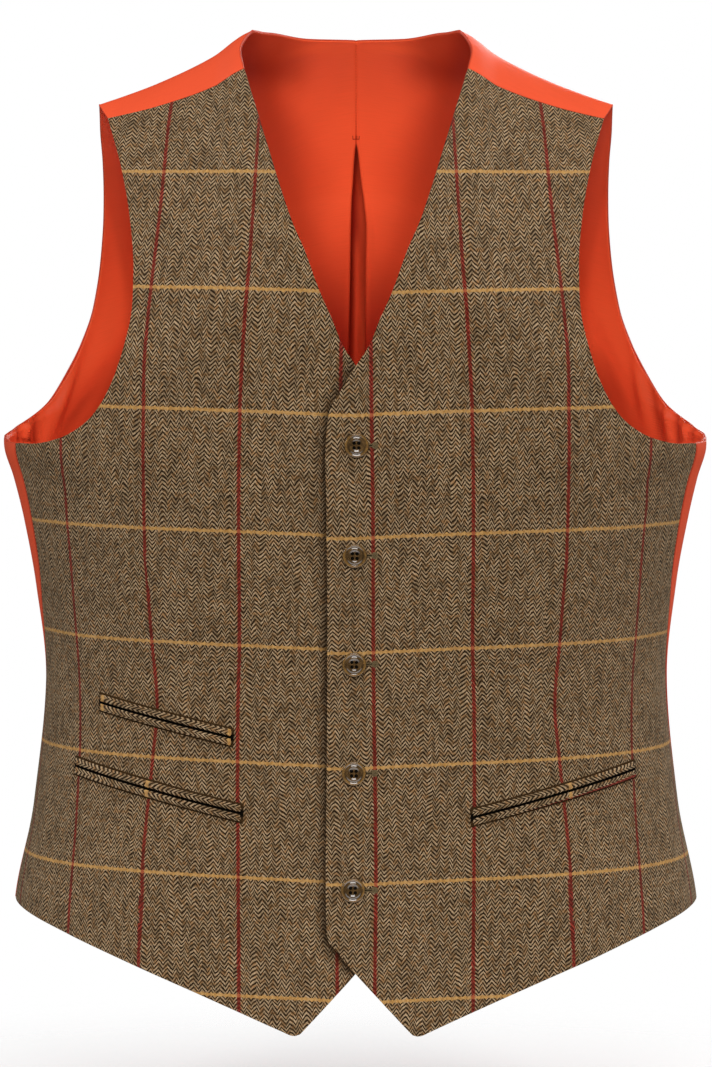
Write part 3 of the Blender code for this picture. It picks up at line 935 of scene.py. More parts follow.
def round_corners(column, row, panel, radius, corners):
    """Move column shares and row numbers near the last row's corners, so that the corners are round."""
    for which in corners:
        turn, height = panel.edge(which, row)
        other, _ = panel.edge("inner" if which == "outer" else "outer", row)
        width = np.abs(unfold(turn) - unfold(other)) * half_width(height)
        column_radius = radius / width
        row_radius = radius / CORNER_ROW_STEP[which]
        from_edge = column if which == "outer" else 1 - column
        across = 1 - from_edge / column_radius
        down = 1 - (panel.last - row) / row_radius
        near = (across > 0) & (down > 0)
        length = np.hypot(across, down)
        with np.errstate(divide="ignore", invalid="ignore"):
            scale = np.where(length > 0, np.maximum(across, down) / length, 1.0)
        moved_edge = column_radius * (1 - across * scale)
        moved_row = panel.last - row_radius * (1 - down * scale)
        column_moved = moved_edge if which == "outer" else 1 - moved_edge
        column = np.where(near, column_moved, column)
        row = np.where(near, moved_row, row)
    return column, row


def make_front(hand, materials, wall, edge):
    """One tweed front: from the shoulder seam to the pointed hem."""
    node = "front_" + side_name(hand)
    panel = FRONT_PANEL
    shape, across, row = grid_shares(FRONT_GRID[0], FRONT_GRID[1] * panel.last)
    column = follow_dart(hand, panel, crowded(across), row * panel.last)
    column, row = round_corners(column, row * panel.last, panel, CORNER_RADIUS, ("inner", "outer"))
    turn, drop = panel.at(column, row, shift_outer=SEAM_GAP / 2)
    seam_drop = drop_from_path(path_from_drop(drop) + SEAM_GAP / 2)
    drop = np.where(row < FIRST_ROW, seam_drop, drop)
    points = front_place(hand, turn, drop, np.zeros_like(turn))
    place = surface(FRONT, turn, drop)
    # Painted shadow on the right front beside the left front's edge.
    shade = LAP_SHADE * beside_lap(hand, place[..., 0], place[..., 2])
    lay_grid(shape, points, check_chart(hand, turn, drop, False), shade)
    split_chart(shape, across, check_chart(hand, turn, drop, True))
    face_outside(shape)
    piece = add_piece(node + "_cloth", shape, materials, (node,))
    add_wall(piece, wall, inner_material=1, edge=edge)
    return piece


def back_creases(hand, turn, height):
    """How far the back's creases and unevenness lift it, away from its centre seam."""
    seam = smooth_step(*BACK_SOFT_TURNS, turn)
    waves = BACK_WAVES * uneven(turn, height, BACK_WAVE_START[hand])
    return context_sizes().crease_share * seam * (crease_lift(BACK_CREASES[hand], turn, height) + waves)


# The fold over the shoulder is rounded within this drop of its crest; the back's seams and edges get a
# painted shade, a darker line along them.
CREST_NEAR = 5.0
CREST_ROUNDS = 6
SEAM_AND_EDGE_SHADE = 0.5


def soften_crest(shape):
    """Round the fold over the shoulder, where the form is tightest."""
    crest = []
    for vertex in shape.verts:
        level = float(shoulder_height(vertex.co.x / MM))
        if level - vertex.co.z / MM < CREST_NEAR and not vertex.is_boundary:
            crest.append(vertex)
    every_axis = {"use_axis_x": True, "use_axis_y": True, "use_axis_z": True}
    for _ in range(CREST_ROUNDS):
        bmesh.ops.smooth_vert(shape, verts=crest, factor=0.5, **every_axis)


def satin_chart(turn, drop):
    """Where points of the back lie on its cloth: round from its centre and down from the shoulder."""
    down = np.copysign(path_from_drop(np.abs(drop)), drop)
    return np.stack((turn * CREASE_RADIUS, down), axis=-1) * MM


def make_back(hand, materials, wall, edge):
    """One half of the satin back: from the seam before the shoulder line to the hem."""
    node = "back_" + side_name(hand)
    panel = BACK_PANEL
    shape, column, row = grid_shares(BACK_GRID[0], BACK_GRID[1] * panel.last)
    row = row * panel.last
    centre_gap = np.where(row > BACK_NECK_ROW - FIRST_ROW, CENTRE_GAP / 2, 0.0)
    turn, drop = panel.at(crowded(column), row, shift_outer=SEAM_GAP / 2, shift_inner=centre_gap)
    seam_drop = -drop_from_path(path_from_drop(-drop) - SEAM_GAP / 2)
    drop = np.where(row < FIRST_ROW, seam_drop, drop)
    height = surface(BACK, turn, drop)[..., 2]
    soft = smooth_step(*BACK_SOFT_LEVELS, height)
    points = form_place(BACK, hand, turn, drop, back_creases(hand, turn, height) * soft)
    # Painted shade along the edge columns: the centre seam, the neck edge and the outer edge.
    shade = SEAM_AND_EDGE_SHADE * ((column > 1 - ROUND_OFF) | (column < ROUND_OFF))
    lay_grid(shape, points, satin_chart(turn, drop), shade)
    face_outside(shape)
    soften_crest(shape)
    piece = add_piece(node + "_cloth", shape, materials, (node,))
    add_wall(piece, wall, edge=edge)
    return piece


# The pleat's folds: how its underlay bulges, and its painted shade: in the fold, how much lighter it is
# painted on the side that the light reaches and along its lit ridge, and its share of the painted shade
# round it.
RIDGE_REACH = 3.4
FOLD_SPREAD = 1.5
FOLD_SHADE = 0.95
SIDE_LIT = 0.36
SIDE_LIT_ACROSS = (-2, 4)
LIT_SHARE = 0.42
FOLD_DEEP = 0.7
# How far the pleat's four layers raise the lining, and how thin they are pressed at the neck.
FOLD_LAYERS = 4
FOLD_CLEAR = 0.2
FOLD_PRESSED = 0.06


def pleat_fold(hand, opening, ridge, layer, lit):
    """One side of the pleat, from its edge under to the middle: arrays of distance, depth and painted
    shade.
    """
    far = opening + PLEAT_DEEP
    fold = []
    for step in range(FOLD_ARC_STEPS + 1):
        bend = math.pi * step / FOLD_ARC_STEPS
        shade = FOLD_SHADE * step / FOLD_ARC_STEPS
        fold.append((opening + layer * (1 - math.sin(bend)), layer * (1 - math.cos(bend)), shade))
    for step in range(1, FOLD_FLAT_STEPS):
        share = step / FOLD_FLAT_STEPS
        fold.append((opening + layer + (far - opening - 2 * layer) * share, 2 * layer, FOLD_SHADE))
    for step in range(FOLD_ARC_STEPS + 1):
        bend = math.pi * step / FOLD_ARC_STEPS
        fold.append((far - layer * (1 - math.sin(bend)), layer * (3 - math.cos(bend)), FOLD_SHADE))
    for step in range(1, FOLD_FACE_STEPS + 1):
        share = (1 - step / FOLD_FACE_STEPS) ** FOLD_SPREAD
        across = (far - layer) * share
        from_lit = (hand * across - PLEAT_LIT_ACROSS) / PLEAT_LIT_REACH
        shade = FOLD_SHADE - SIDE_LIT * smooth_step(*SIDE_LIT_ACROSS, hand * across)
        shade = shade - LIT_SHARE * lit * np.exp(-from_lit ** 2)
        fold.append((across, 4 * layer - ridge * np.exp(-((across / RIDGE_REACH) ** 2)), shade))
    return fold


# How the lining lies in the back: close at its edges, deeper away from them, and drawn in from the seams.
LINING_UNDER = 3.2
LINING_CLOSE = 0.12
LINING_EDGE = (1, 26)
LINING_INSET = 0.35
LINING_HEM = 1.5
NECK_OVER = 0.25
NECK_OVER_COLUMNS = (0.8, 1.0)
NECK_OVER_ROWS = (2.0, 3.0)
# How far down the cloth one row step goes below the neck and above the hem.
NECK_ROW_STEP = 36
HEM_ROW_STEP = 30


def lining_depth(turn, row, sizes):
    """How far inside the back's outer face the middle of the lining lies: close at the edges."""
    outer_turn, outer_height = BACK_PANEL.edge("outer", row)
    from_outer = (outer_turn - turn) * half_width(outer_height)
    inner_turn, inner_height = BACK_PANEL.edge("inner", row)
    from_neck = (turn - inner_turn) * half_width(inner_height)
    from_neck = from_neck + np.maximum(row - BACK_NECK_ROW, 0.0) * NECK_ROW_STEP
    from_hem = (BACK_PANEL.last - row) * HEM_ROW_STEP
    from_edge = np.minimum(np.minimum(from_outer, from_neck), from_hem)
    close = sizes.back_wall / MM + LINING_CLOSE + sizes.lining_wall / MM / 2
    return close + (LINING_UNDER - close) * smooth_step(*LINING_EDGE, from_edge)


def pleat_share(height):
    """The share of its full thickness that the pleat has: it is pressed flat at the neck."""
    return FOLD_PRESSED + (1 - FOLD_PRESSED) * smooth_step(*PLEAT_THIN, height)


# The painted shade on the lining, standing for the shadow where it lies in the hollow garment. Behind the
# fronts' edges beside the neck, whose distance from the centre is EDGE_ACROSS at the shoulder line:
EDGE_ACROSS = 72.3
EDGE_SLOPE = 0.3575
EDGE_BULGE = 3
EDGE_BULGE_LEVELS = (0, -90)
EDGE_REACH = 16.4
EDGE_FADE = (20, 60)
EDGE_SHADE = 0.48
# Under the straps beside the neck, with the reach above and below the shoulder line:
CORNER_REACH = (45, 11)
CORNER_STARTS = (20, 54)
CORNER_ENDS = (75, 110)
CORNER_SHADE = 0.58
# Deep inside, towards the bottom of the V:
DEEP_LEVELS = (-110, -198)
DEEP_ACROSS = (45, 90)
DEEP_SHADE = 0.86
# Under the arms, and in the hollows of its creases:
UNDERARM_ACROSS = (150, 200)
UNDERARM_LEVELS = (-160, -235)
UNDERARM_SHADE = 0.28
HOLLOW_SHADE = 0.6
# Behind the armholes' front edges, given as heights and distances, with a share that grows lower down:
ARMHOLE_EDGE = ((-244, 181), (-237, 173), (-220, 163), (-198, 156), (-155, 150), (-107, 156), (-60, 166))
ARMHOLE_LEVELS = (-170, -215)
ARMHOLE_STARTS = (-25, -5)
ARMHOLE_REACH = (4, 11)
ARMHOLE_SHADE = (0.22, 0.48)


class LiningPlaces:
    """Where the points of the lining's rows lie, over the armhole-to-pleat face and the pleat's fold."""

    def __init__(self, hand, sizes):
        self.hand = hand
        self.sizes = sizes
        self.layer = sizes.pleat_layer / MM
        self.opening_column = "open_" + side_name(hand)
        self.creases = LINING_CREASES[hand]

    def domain(self, column, row):
        """The turn and drop of the lining, drawn in a little from the back's edges."""
        turn, drop = BACK_PANEL.at(column, row, shift_outer=LINING_INSET)
        start = -drop_from_path(path_from_drop(-drop) - LINING_INSET)
        drop = np.where(row < FIRST_ROW, start, drop)
        neck = smooth_step(*NECK_OVER_COLUMNS, column) * smooth_step(*NECK_OVER_ROWS, row)
        drop = drop - NECK_OVER * neck * (row <= BACK_NECK_ROW)
        return turn, drop - np.where(row > BACK_PANEL.last - FIRST_ROW, LINING_HEM, 0.0)

    def raised(self, across, height):
        """How far the lining stands in from the back round its pleat."""
        near = 1 - smooth_step(*PLEAT_BLEND, np.abs(across))
        return FOLD_LAYERS * self.layer * near * pleat_share(height) + FOLD_CLEAR * near

    def face(self, column, row):
        """The turn, drop and places of the lining beside its pleat, with its own creases and the back's."""
        turn, drop = self.domain(column, row)
        place = surface(BACK, turn, drop)
        height = place[..., 2]
        depth_in = lining_depth(turn, row, self.sizes) + self.raised(place[..., 0], height)
        soft = smooth_step(*LINING_SOFT_LEVELS, height) * smooth_step(*LINING_SOFT_TURNS, turn)
        waves = LINING_WAVES * uneven(turn, height, LINING_WAVE_START[self.hand])
        ridges = self.sizes.crease_share * soft * (crease_lift(self.creases, turn, height) + waves)
        under = back_creases(self.hand, turn, height) * smooth_step(*BACK_SOFT_LEVELS, height)
        edge = smooth_step(*LINING_SOFT_DEPTHS, depth_in)
        return turn, drop, form_place(BACK, self.hand, turn, drop, under - depth_in - ridges * edge)

    def shade(self, turn, height):
        """The painted shade of the face at turns and heights, from 0 to 1, with every shadow that it stands
        for together.
        """
        across = half_width(height) * np.sin(np.minimum(turn, math.pi / 2))
        neck_edge = EDGE_ACROSS + EDGE_SLOPE * height + EDGE_BULGE * smooth_step(*EDGE_BULGE_LEVELS, height)
        inward = np.maximum(neck_edge - across, 0.0) / EDGE_REACH
        beside = EDGE_SHADE * np.exp(-inward ** 2) * (1 - smooth_step(*EDGE_FADE, across - neck_edge))
        up = height / np.where(height > 0, CORNER_REACH[0], CORNER_REACH[1])
        under = smooth_step(*CORNER_STARTS, across) * (1 - smooth_step(*CORNER_ENDS, across))
        corner = CORNER_SHADE * under * np.exp(-up ** 2)
        deep = smooth_step(*DEEP_LEVELS, height) * (1 - smooth_step(*DEEP_ACROSS, across))
        underarm = smooth_step(*UNDERARM_ACROSS, across) * smooth_step(*UNDERARM_LEVELS, height)
        hollow = HOLLOW_SHADE * np.clip(-crease_lift(self.creases, turn, height), 0, 1)
        hole = self.armhole_shade(across, height)
        lit = (1 - beside) * (1 - corner) * (1 - DEEP_SHADE * deep)
        return 1 - lit * (1 - UNDERARM_SHADE * underarm) * (1 - hollow) * (1 - hole)

    def armhole_shade(self, across, height):
        """The painted shade of the face, standing for the shadow behind the front edge of the armhole."""
        heights, places = zip(*ARMHOLE_EDGE)
        from_edge = across - hermite(heights, places, height)
        low = smooth_step(*ARMHOLE_LEVELS, height)
        reach = ARMHOLE_REACH[0] + ARMHOLE_REACH[1] * low
        share = np.exp(-(np.maximum(from_edge, 0.0) / reach) ** 2)
        return (ARMHOLE_SHADE[0] + ARMHOLE_SHADE[1] * low) * share * smooth_step(*ARMHOLE_STARTS, from_edge)

    def pleat(self, row):
        """The fold of the pleat at row numbers, and the drop and height of the centre there."""
        _, drop = self.domain(np.ones_like(row), row)
        height = surface(BACK, np.zeros_like(row), drop)[..., 2]
        opening = read_table(PLEAT, PLEAT_COLUMNS, "height", self.opening_column, height)
        ridge = read_table(PLEAT, PLEAT_COLUMNS, "height", "ridge", height)
        lit = smooth_step(*PLEAT_LIT, height)
        layer = self.layer * pleat_share(height)
        return pleat_fold(self.hand, opening, ridge, layer, lit), drop, height

    def body(self, step, row):
        """Points below the neck, with turn, drop and painted shade; step counts from the armhole to the
        fold.
        """
        columns = LINING_GRID[0]
        fold, centre_drop, height = self.pleat(row)
        width = half_width(height)
        end_turn = np.arcsin(fold[0][0] / width)
        start_turn, _ = self.domain(np.zeros_like(row), row)
        wanted = start_turn + (end_turn - start_turn) * crowded(np.minimum(step / columns, 1.0))
        turn, drop, points = self.face((start_turn - wanted) / start_turn, row)
        shade = self.shade(turn, points[..., 2])
        raised = self.raised(np.zeros_like(row), height)
        level = lining_depth(np.zeros_like(row), row, self.sizes) + raised
        for number, entry in enumerate(fold):
            here = step == columns + number
            across, layers, dark = (np.broadcast_to(value, row.shape) for value in entry)
            fold_turn = np.arcsin(across[here] / width[here])
            out = layers[here] - level[here]
            points[here] = form_place(BACK, self.hand, fold_turn, centre_drop[here], out)
            turn[here] = fold_turn
            drop[here] = centre_drop[here]
            share = 1.0 if number <= FOLD_ARC_STEPS else FOLD_DEEP
            around = share * self.shade(np.zeros_like(row), height)
            shade[here] = np.maximum(dark * pleat_share(height), around)[here]
        return turn, drop, points, shade


def make_lining(materials, sizes):
    """The back's lining, one piece with a box pleat down its middle."""
    columns, fineness = LINING_GRID
    fold_count = len(pleat_fold(1, 0.0, 0.0, 1.0, 0.0))
    half = columns + fold_count - 1
    down = (BACK_PANEL.last - BACK_NECK_ROW) * fineness
    whole, across_share, down_share = grid_shares(2 * half, down)
    index = np.round(across_share * 2 * half).astype(int)
    row = BACK_NECK_ROW + down_share * (BACK_PANEL.last - BACK_NECK_ROW)
    step = np.where(index <= half, index, 2 * half - index)
    points = np.zeros((len(row), 3))
    chart = np.zeros((len(row), 2))
    shade = np.zeros(len(row))
    for hand in (-1, 1):
        mine = (index <= half) if hand < 0 else (index > half)
        turn, drop, places, dark = LiningPlaces(hand, sizes).body(step[mine], row[mine])
        points[mine] = places
        chart[mine] = satin_chart(hand * turn, drop)
        shade[mine] = dark
    lay_grid(whole, points, chart, shade)
    for hand in (-1, 1):
        strap, across_share, down_share = grid_shares(columns, BACK_NECK_ROW * fineness)
        row = down_share * BACK_NECK_ROW
        places = LiningPlaces(hand, sizes)
        turn, drop, points = places.face(crowded(across_share), row)
        joined = down_share > 1 - ROUND_OFF
        step = np.round(across_share * columns).astype(int)
        shade = places.shade(turn, points[..., 2])
        joint = places.body(step[joined], row[joined])
        turn[joined], drop[joined], points[joined], shade[joined] = joint
        lay_grid(strap, points, satin_chart(hand * turn, drop), shade)
        join(whole, strap)
    close_seams(whole, SEAM_APART)
    soften_crest(whole)
    piece = add_piece("back_lining_cloth", whole, materials, ("back_lining",))
    add_wall(piece, sizes.lining_wall, offset=0)
    return piece


# The samples along a pocket, from before its outer end to past its inner one, and the number of the one at
# its outer end.
POCKET_SAMPLES = (-0.1, 1.1, 241)
POCKET_START = 20
LENGTH_SAMPLES = 201


def way_along(line):
    """The way along a line of points, at each of them."""
    return np.concatenate(((0.0,), np.cumsum(np.linalg.norm(np.diff(line, axis=0), axis=1))))


def pocket_place(pocket, way, up, out):
    """Points round a pocket's mouth, at a way along it, a height above its slit and out of the front."""
    outer = math.radians(pocket["outer_turn"])
    inner = math.radians(pocket["inner_turn"])
    turns = outer + (inner - outer) * np.linspace(*POCKET_SAMPLES)
    fall = pocket["inner_height"] - pocket["outer_height"]
    span = unfold(inner) - unfold(outer)
    heights = pocket["outer_height"] + fall * (unfold(turns) - unfold(outer)) / span
    ways = way_along(surface(FRONT, turns, drop_at(turns, heights)))
    ways -= ways[POCKET_START]
    turn = np.interp(way, ways, turns)
    height = np.interp(way, ways, heights) + up
    return front_place(pocket["hand"], turn, drop_at(turn, height), out)


def pocket_length(pocket):
    """The length of a pocket's slit along the cloth."""
    turns = np.radians(np.linspace(pocket["outer_turn"], pocket["inner_turn"], LENGTH_SAMPLES))
    heights = np.linspace(pocket["outer_height"], pocket["inner_height"], LENGTH_SAMPLES)
    line = surface(FRONT, turns, drop_at(turns, heights))
    return float(np.linalg.norm(np.diff(line, axis=0), axis=1).sum())


# A jet: a flattened tube with rounded ends, and where its weave starts.
JET_GRID = (120, 18)
JET_THICK = 1.7
JET_SEAT = 0.35
JET_SQUARE = 0.7
JET_END = 1.3
JET_ROUND = 4
WEAVE_START = 25.0
RED_LEAN = 0.02
# A dark sheet painted as the shadow in a pocket's mouth, which reaches a little past its jets as a painted
# shadow line round them.
MOUTH_GRID = (90, 12)
MOUTH_RIM = (1.2, 3.5)
MOUTH_MARGIN = 1.05
MOUTH_ENDS = (1.5, 1.1)
MOUTH_OUT = 0.28
MOUTH_WALL = 0.25


def make_jet(pocket, label, sign, materials):
    """A folded strip of cloth along one side of a pocket's slit, closed at both ends."""
    length = pocket_length(pocket)
    jet_height = (pocket["across"] - SLIT) / 2
    shape, along, round_share = grid_shares(*JET_GRID)
    angle = 2 * math.pi * round_share
    from_end = np.minimum(along, 1 - along) * length
    closing = (1 - np.maximum(1 - from_end / JET_END, 0.0) ** JET_ROUND) ** (1 / JET_ROUND)
    flat = np.sign(np.cos(angle)) * np.abs(np.cos(angle)) ** JET_SQUARE
    high = np.sign(np.sin(angle)) * np.abs(np.sin(angle)) ** JET_SQUARE
    up = sign * (SLIT / 2 + jet_height / 2 - flat * closing * jet_height / 2)
    out = JET_SEAT + JET_THICK / 2 * (1 + high * closing)
    way = along * length
    points = pocket_place(pocket, way, up, out)
    start = pocket["red_start"] if sign < 0 else WEAVE_START
    across = start + np.abs(up) - SLIT / 2 - RED_LEAN * way
    stretch = context_sizes().golden_pitch / MM / (pocket["golden_next"] - pocket["golden_mark"])
    chart = np.stack((across, (way - pocket["golden_mark"]) * stretch), axis=-1) * MM
    lay_grid(shape, points, chart)
    close_seams(shape)
    node = pocket["name"] + "_" + label + "_jet"
    return add_piece(node + "_cloth", shape, materials, (node,))


def make_mouth(pocket, materials):
    """A painted shadow: a dark sheet under the pocket's jets, seen between them and as a fine line round
    them.
    """
    length = pocket_length(pocket)
    half_height = pocket["across"] / 2 + MOUTH_MARGIN
    shape, along, round_share = grid_shares(*MOUTH_GRID)
    up = (2 * round_share - 1) * half_height
    way = along * (length + sum(MOUTH_ENDS)) - MOUTH_ENDS[0]
    points = pocket_place(pocket, way, up, np.full_like(up, MOUTH_OUT))
    lay_grid(shape, points, np.stack((way, up), axis=-1) * MM)
    face_outside(shape)
    piece = add_piece(pocket["name"] + "_mouth_shadow", shape, materials)
    add_wall(piece, MOUTH_WALL * MM)
    return piece


def button_frame(across, height):
    """A button's place on the left front, with its own X to the wearer's left and Z out of the cloth."""
    turn = np.arcsin(across / half_width(height))
    drop = drop_at(turn, height)
    normal = Vector(outward(FRONT, turn, drop))
    seat = Vector(form_place(FRONT, 1, turn, drop, LAP_OUT[1] + BUTTON_LIFT))
    side = Vector((0, 0, 1)).cross(normal).normalized()
    placed = Matrix((side, normal.cross(side), normal)).transposed().to_4x4()
    placed.translation = seat * MM
    return placed


def hole_places(spacing):
    """The middles of a button's four holes."""
    return [Vector((across * spacing, up * spacing, 0)) for across in (-0.5, 0.5) for up in (-0.5, 0.5)]


def button_shape(profile, sides):
    """A turned bmesh from a profile of radius and level."""
    shape = bmesh.new()
    marks = np.arange(len(profile))
    steps = np.linspace(0, marks[-1], PROFILE_STEPS * marks[-1] + 1)
    radii, levels = (hermite(marks, column, steps) * MM for column in zip(*profile))
    line = [shape.verts.new((radius, 0, level)) for radius, level in zip(radii, levels)]
    edges = [shape.edges.new(pair) for pair in zip(line, line[1:])]
    turning = {"cent": (0, 0, 0), "axis": (0, 0, 1), "angle": 2 * math.pi, "steps": sides}
    bmesh.ops.spin(shape, geom=line + edges, use_merge=True, **turning)
    close_seams(shape)
    return shape


def add_pins(shape, places, radius, low, high, sides):
    """Closed pins at places of a bmesh, between two levels."""
    for place in places:
        bmesh.ops.create_cone(
            shape,
            cap_ends=True,
            segments=sides,
            radius1=radius,
            radius2=radius,
            depth=high - low,
            matrix=Matrix.Translation(place + Vector((0, 0, (low + high) / 2))),
        )


def make_button(number, across, height, material, sizes):
    """One four-hole button, with a raised rim and a sunk middle, drilled through."""
    node = "button_" + str(number)
    turned = add_object(node + "_turned", button_shape(BUTTON_PROFILE, BUTTON_SIDES))
    pins = bmesh.new()
    low, high = DRILL_LEVELS
    add_pins(pins, hole_places(sizes.hole_spacing), sizes.hole_radius, low * MM, high * MM, HOLE_SIDES)
    drill = add_object(node + "_drill", pins)
    cut = turned.modifiers.new("Thread holes", "BOOLEAN")
    cut.operation = "DIFFERENCE"
    cut.object = drill
    add_rounding(turned, "Worn edges", WORN_EDGE * MM, WORN_ANGLE)
    graph = bpy.context.evaluated_depsgraph_get()
    drilled = bpy.data.meshes.new_from_object(turned.evaluated_get(graph))
    for helper in (turned, drill):
        bpy.data.objects.remove(helper, do_unlink=True)
    shape = bmesh.new()
    shape.from_mesh(drilled)
    bpy.data.meshes.remove(drilled)
    layer = shape.loops.layers.uv.new("Cloth")
    for face in shape.faces:
        for corner in face.loops:
            place = corner.vert.co
            angle = math.atan2(place.y, place.x)
            corner[layer].uv = (math.hypot(place.x, place.y), number * BUTTON_CHART_STEP + angle * MM)
    bmesh.ops.transform(shape, matrix=button_frame(across, height), verts=shape.verts)
    piece = add_piece(node + "_horn", shape, (material,), (node,))
    piece.data.set_sharp_from_angle(angle=math.radians(BUTTON_ANGLE))
    return piece


def make_button_thread(number, across, height, material, sizes):
    """The thread that holds a button: a short shank under it and a plug of thread in each hole."""
    shape = bmesh.new()
    shank_low = -BUTTON_LIFT * MM - SHANK_SINK * MM
    add_pins(shape, [Vector((0, 0, 0))], SHANK_RADIUS * MM, shank_low, SHANK_TOP * MM, SHANK_SIDES)
    plug = sizes.hole_radius * PLUG_FILL
    low, high = PLUG_LEVELS
    add_pins(shape, hole_places(sizes.hole_spacing), plug, low * MM, high * MM, PLUG_SIDES)
    bmesh.ops.transform(shape, matrix=button_frame(across, height), verts=shape.verts)
    piece = add_piece("button_" + str(number) + "_thread", shape, (material,))
    piece.data.set_sharp_from_angle(angle=math.radians(THREAD_ANGLE))
    return piece


# A buttonhole, from the centre line towards the side: a slit between two lips and a round eye.
HOLE_START = 3.0
EYE_ACROSS = 11.6
EYE_RADIUS = 1.75
EYE_RISE = 0.4
LIP_APART = 0.62
LIP_HALF = 0.45
LIP_RISE = 0.42
LIP_STEPS = 26
EYE_STEPS = 30
LIP_ROUND = 8
EYE_GRID = (40, 8)
EYE_SEAT = 0.06
EYE_STITCHES = 18
# The dark sheet painted as the shadow in a buttonhole's slit.
GASH_GRID = (24, 4)
GASH_END = 0.6
GASH_HALF = 0.38
GASH_OUT = 0.1
GASH_WALL = 0.15
# Thread: the pitch and depth of its stitches, and how far its ridge sinks in the cloth.
STITCH_PITCH = 0.62
STITCH_DEEP = 0.15
THREAD_SINK = 0.1


def keyhole_line():
    """The line of a buttonhole's lips: in along the lower lip, round the eye, and back along the upper."""
    opening = math.asin(LIP_APART / EYE_RADIUS)
    joint = EYE_ACROSS - EYE_RADIUS * math.cos(opening)
    line = [(HOLE_START + (joint - HOLE_START) * step / LIP_STEPS, -LIP_APART) for step in range(LIP_STEPS)]
    for step in range(EYE_STEPS + 1):
        bend = math.pi + opening + (2 * math.pi - 2 * opening) * step / EYE_STEPS
        line.append((EYE_ACROSS + EYE_RADIUS * math.cos(bend), EYE_RADIUS * math.sin(bend)))
    line += [(x, -y) for x, y in reversed(line[:LIP_STEPS])]
    return np.array(line)


def stitched(phase):
    """The share of its full height that thread has at a phase of its stitches, a full turn for each."""
    return (1 - STITCH_DEEP) + STITCH_DEEP * np.cos(phase)


def ridge_shape(line, half, rise, place):
    """A ridge of thread along a line, with a rounded top; place puts its points on a cloth."""
    count = len(line) - 1
    shape, along, round_share = grid_shares(count, LIP_ROUND)
    index = np.round(along * count).astype(int)
    heading = np.gradient(line, axis=0)
    heading /= np.linalg.norm(heading, axis=1, keepdims=True)
    beside = np.stack((-heading[:, 1], heading[:, 0]), axis=-1)
    way = way_along(line)
    angle = math.pi * round_share
    flat = line[index] + beside[index] * (half * np.cos(angle))[:, None]
    stitch = stitched(2 * math.pi * way[index] / STITCH_PITCH)
    points = place(flat[:, 0], flat[:, 1], rise * np.sin(angle) * stitch - THREAD_SINK)
    lay_grid(shape, points, np.stack((way[index], half * angle), axis=-1) * MM)
    face_outside(shape)
    return shape


def make_buttonhole(number, height, materials):
    """The sewn edge of one buttonhole, which shows beside its button, and a dark sheet painted as the
    shadow in its slit.
    """
    def place(across, up, out):
        return on_front(1, across, height + up, out)

    name = "buttonhole_" + str(number)
    add_piece(name, ridge_shape(keyhole_line(), LIP_HALF, LIP_RISE, place), materials[:1])
    shape, along, beside = grid_shares(*EYE_GRID)
    bend = 2 * math.pi * along
    radius = EYE_RADIUS * beside
    rise = EYE_RISE * (1 - beside ** 2) * stitched(EYE_STITCHES * bend) + EYE_SEAT
    points = place(EYE_ACROSS + radius * np.cos(bend), radius * np.sin(bend), rise)
    lay_grid(shape, points, np.stack((EYE_RADIUS * bend, radius), axis=-1) * MM)
    close_seams(shape)
    face_outside(shape)
    add_piece(name + "_eye", shape, materials[:1])
    shape, along, beside = grid_shares(*GASH_GRID)
    end = EYE_ACROSS - GASH_END * EYE_RADIUS
    across = HOLE_START + (end - HOLE_START) * along
    points = place(across, (2 * beside - 1) * GASH_HALF, np.full_like(across, GASH_OUT))
    lay_grid(shape, points, np.stack((across, beside), axis=-1) * MM)
    face_outside(shape)
    slit = add_piece(name + "_slit_shadow", shape, materials[1:])
    add_wall(slit, GASH_WALL * MM)


# The row numbers below the neck in which the tack and the centre seam lie, and the samples to find them.
SEWN_ROWS = 3
SEWN_SAMPLES = 61
# The tack: a bar of thread and short ticks across it.
TACK_HALF = 2.7
TACK_STEPS = 16
TACK_TICKS = (-2.5, -0.6, 1.1, 2.5)
TICK_LEVELS = (-0.2, 2.3)
TICK_SPREAD = 1.08
TICK_STEPS = 8
THREAD_HALF = 0.26
THREAD_RISE = 0.35


def on_lining(across, height, out, sizes):
    """Points on the lining's inner face near the centre back, moved in towards the wearer."""
    rows = np.linspace(BACK_NECK_ROW, BACK_NECK_ROW + SEWN_ROWS, SEWN_SAMPLES)
    row = np.interp(-height, -BACK_PANEL.edge("inner", rows)[1], rows)
    turn = np.arcsin(np.abs(across) / half_width(height))
    layer = sizes.pleat_layer / MM
    raised = FOLD_LAYERS * layer * pleat_share(height) + FOLD_CLEAR
    inside = lining_depth(turn, row, sizes) + raised + sizes.lining_wall / MM / 2 + out
    places = form_place(BACK, 1, turn, drop_at(turn, height), -inside)
    places[..., 0] *= np.where(across < 0, -1, 1)
    return places


def make_tack(material, sizes):
    """The bar tack that closes the top of the pleat: a short bar and a few stitches across it."""
    def place(across, up, out):
        return on_lining(across, TACK_LEVEL + up, out, sizes)

    lines = [np.linspace((-TACK_HALF, 0), (TACK_HALF, 0), TACK_STEPS)]
    low, high = TICK_LEVELS
    for tick in TACK_TICKS:
        lines.append(np.linspace((tick, low), (tick * TICK_SPREAD, high), TICK_STEPS))
    whole = bmesh.new()
    for line in lines:
        join(whole, ridge_shape(line, THREAD_HALF, THREAD_RISE, place))
    bmesh.ops.reverse_faces(whole, faces=whole.faces)
    return add_piece("pleat_tack", whole, (material,))


SEAM_LEVELS = (17.6, -40.4)
SEAM_PITCH = 1.72
SEAM_STITCH = 1.15
SEAM_STEPS = 5
SEAM_HALF = 0.2
SEAM_RISE = 0.16


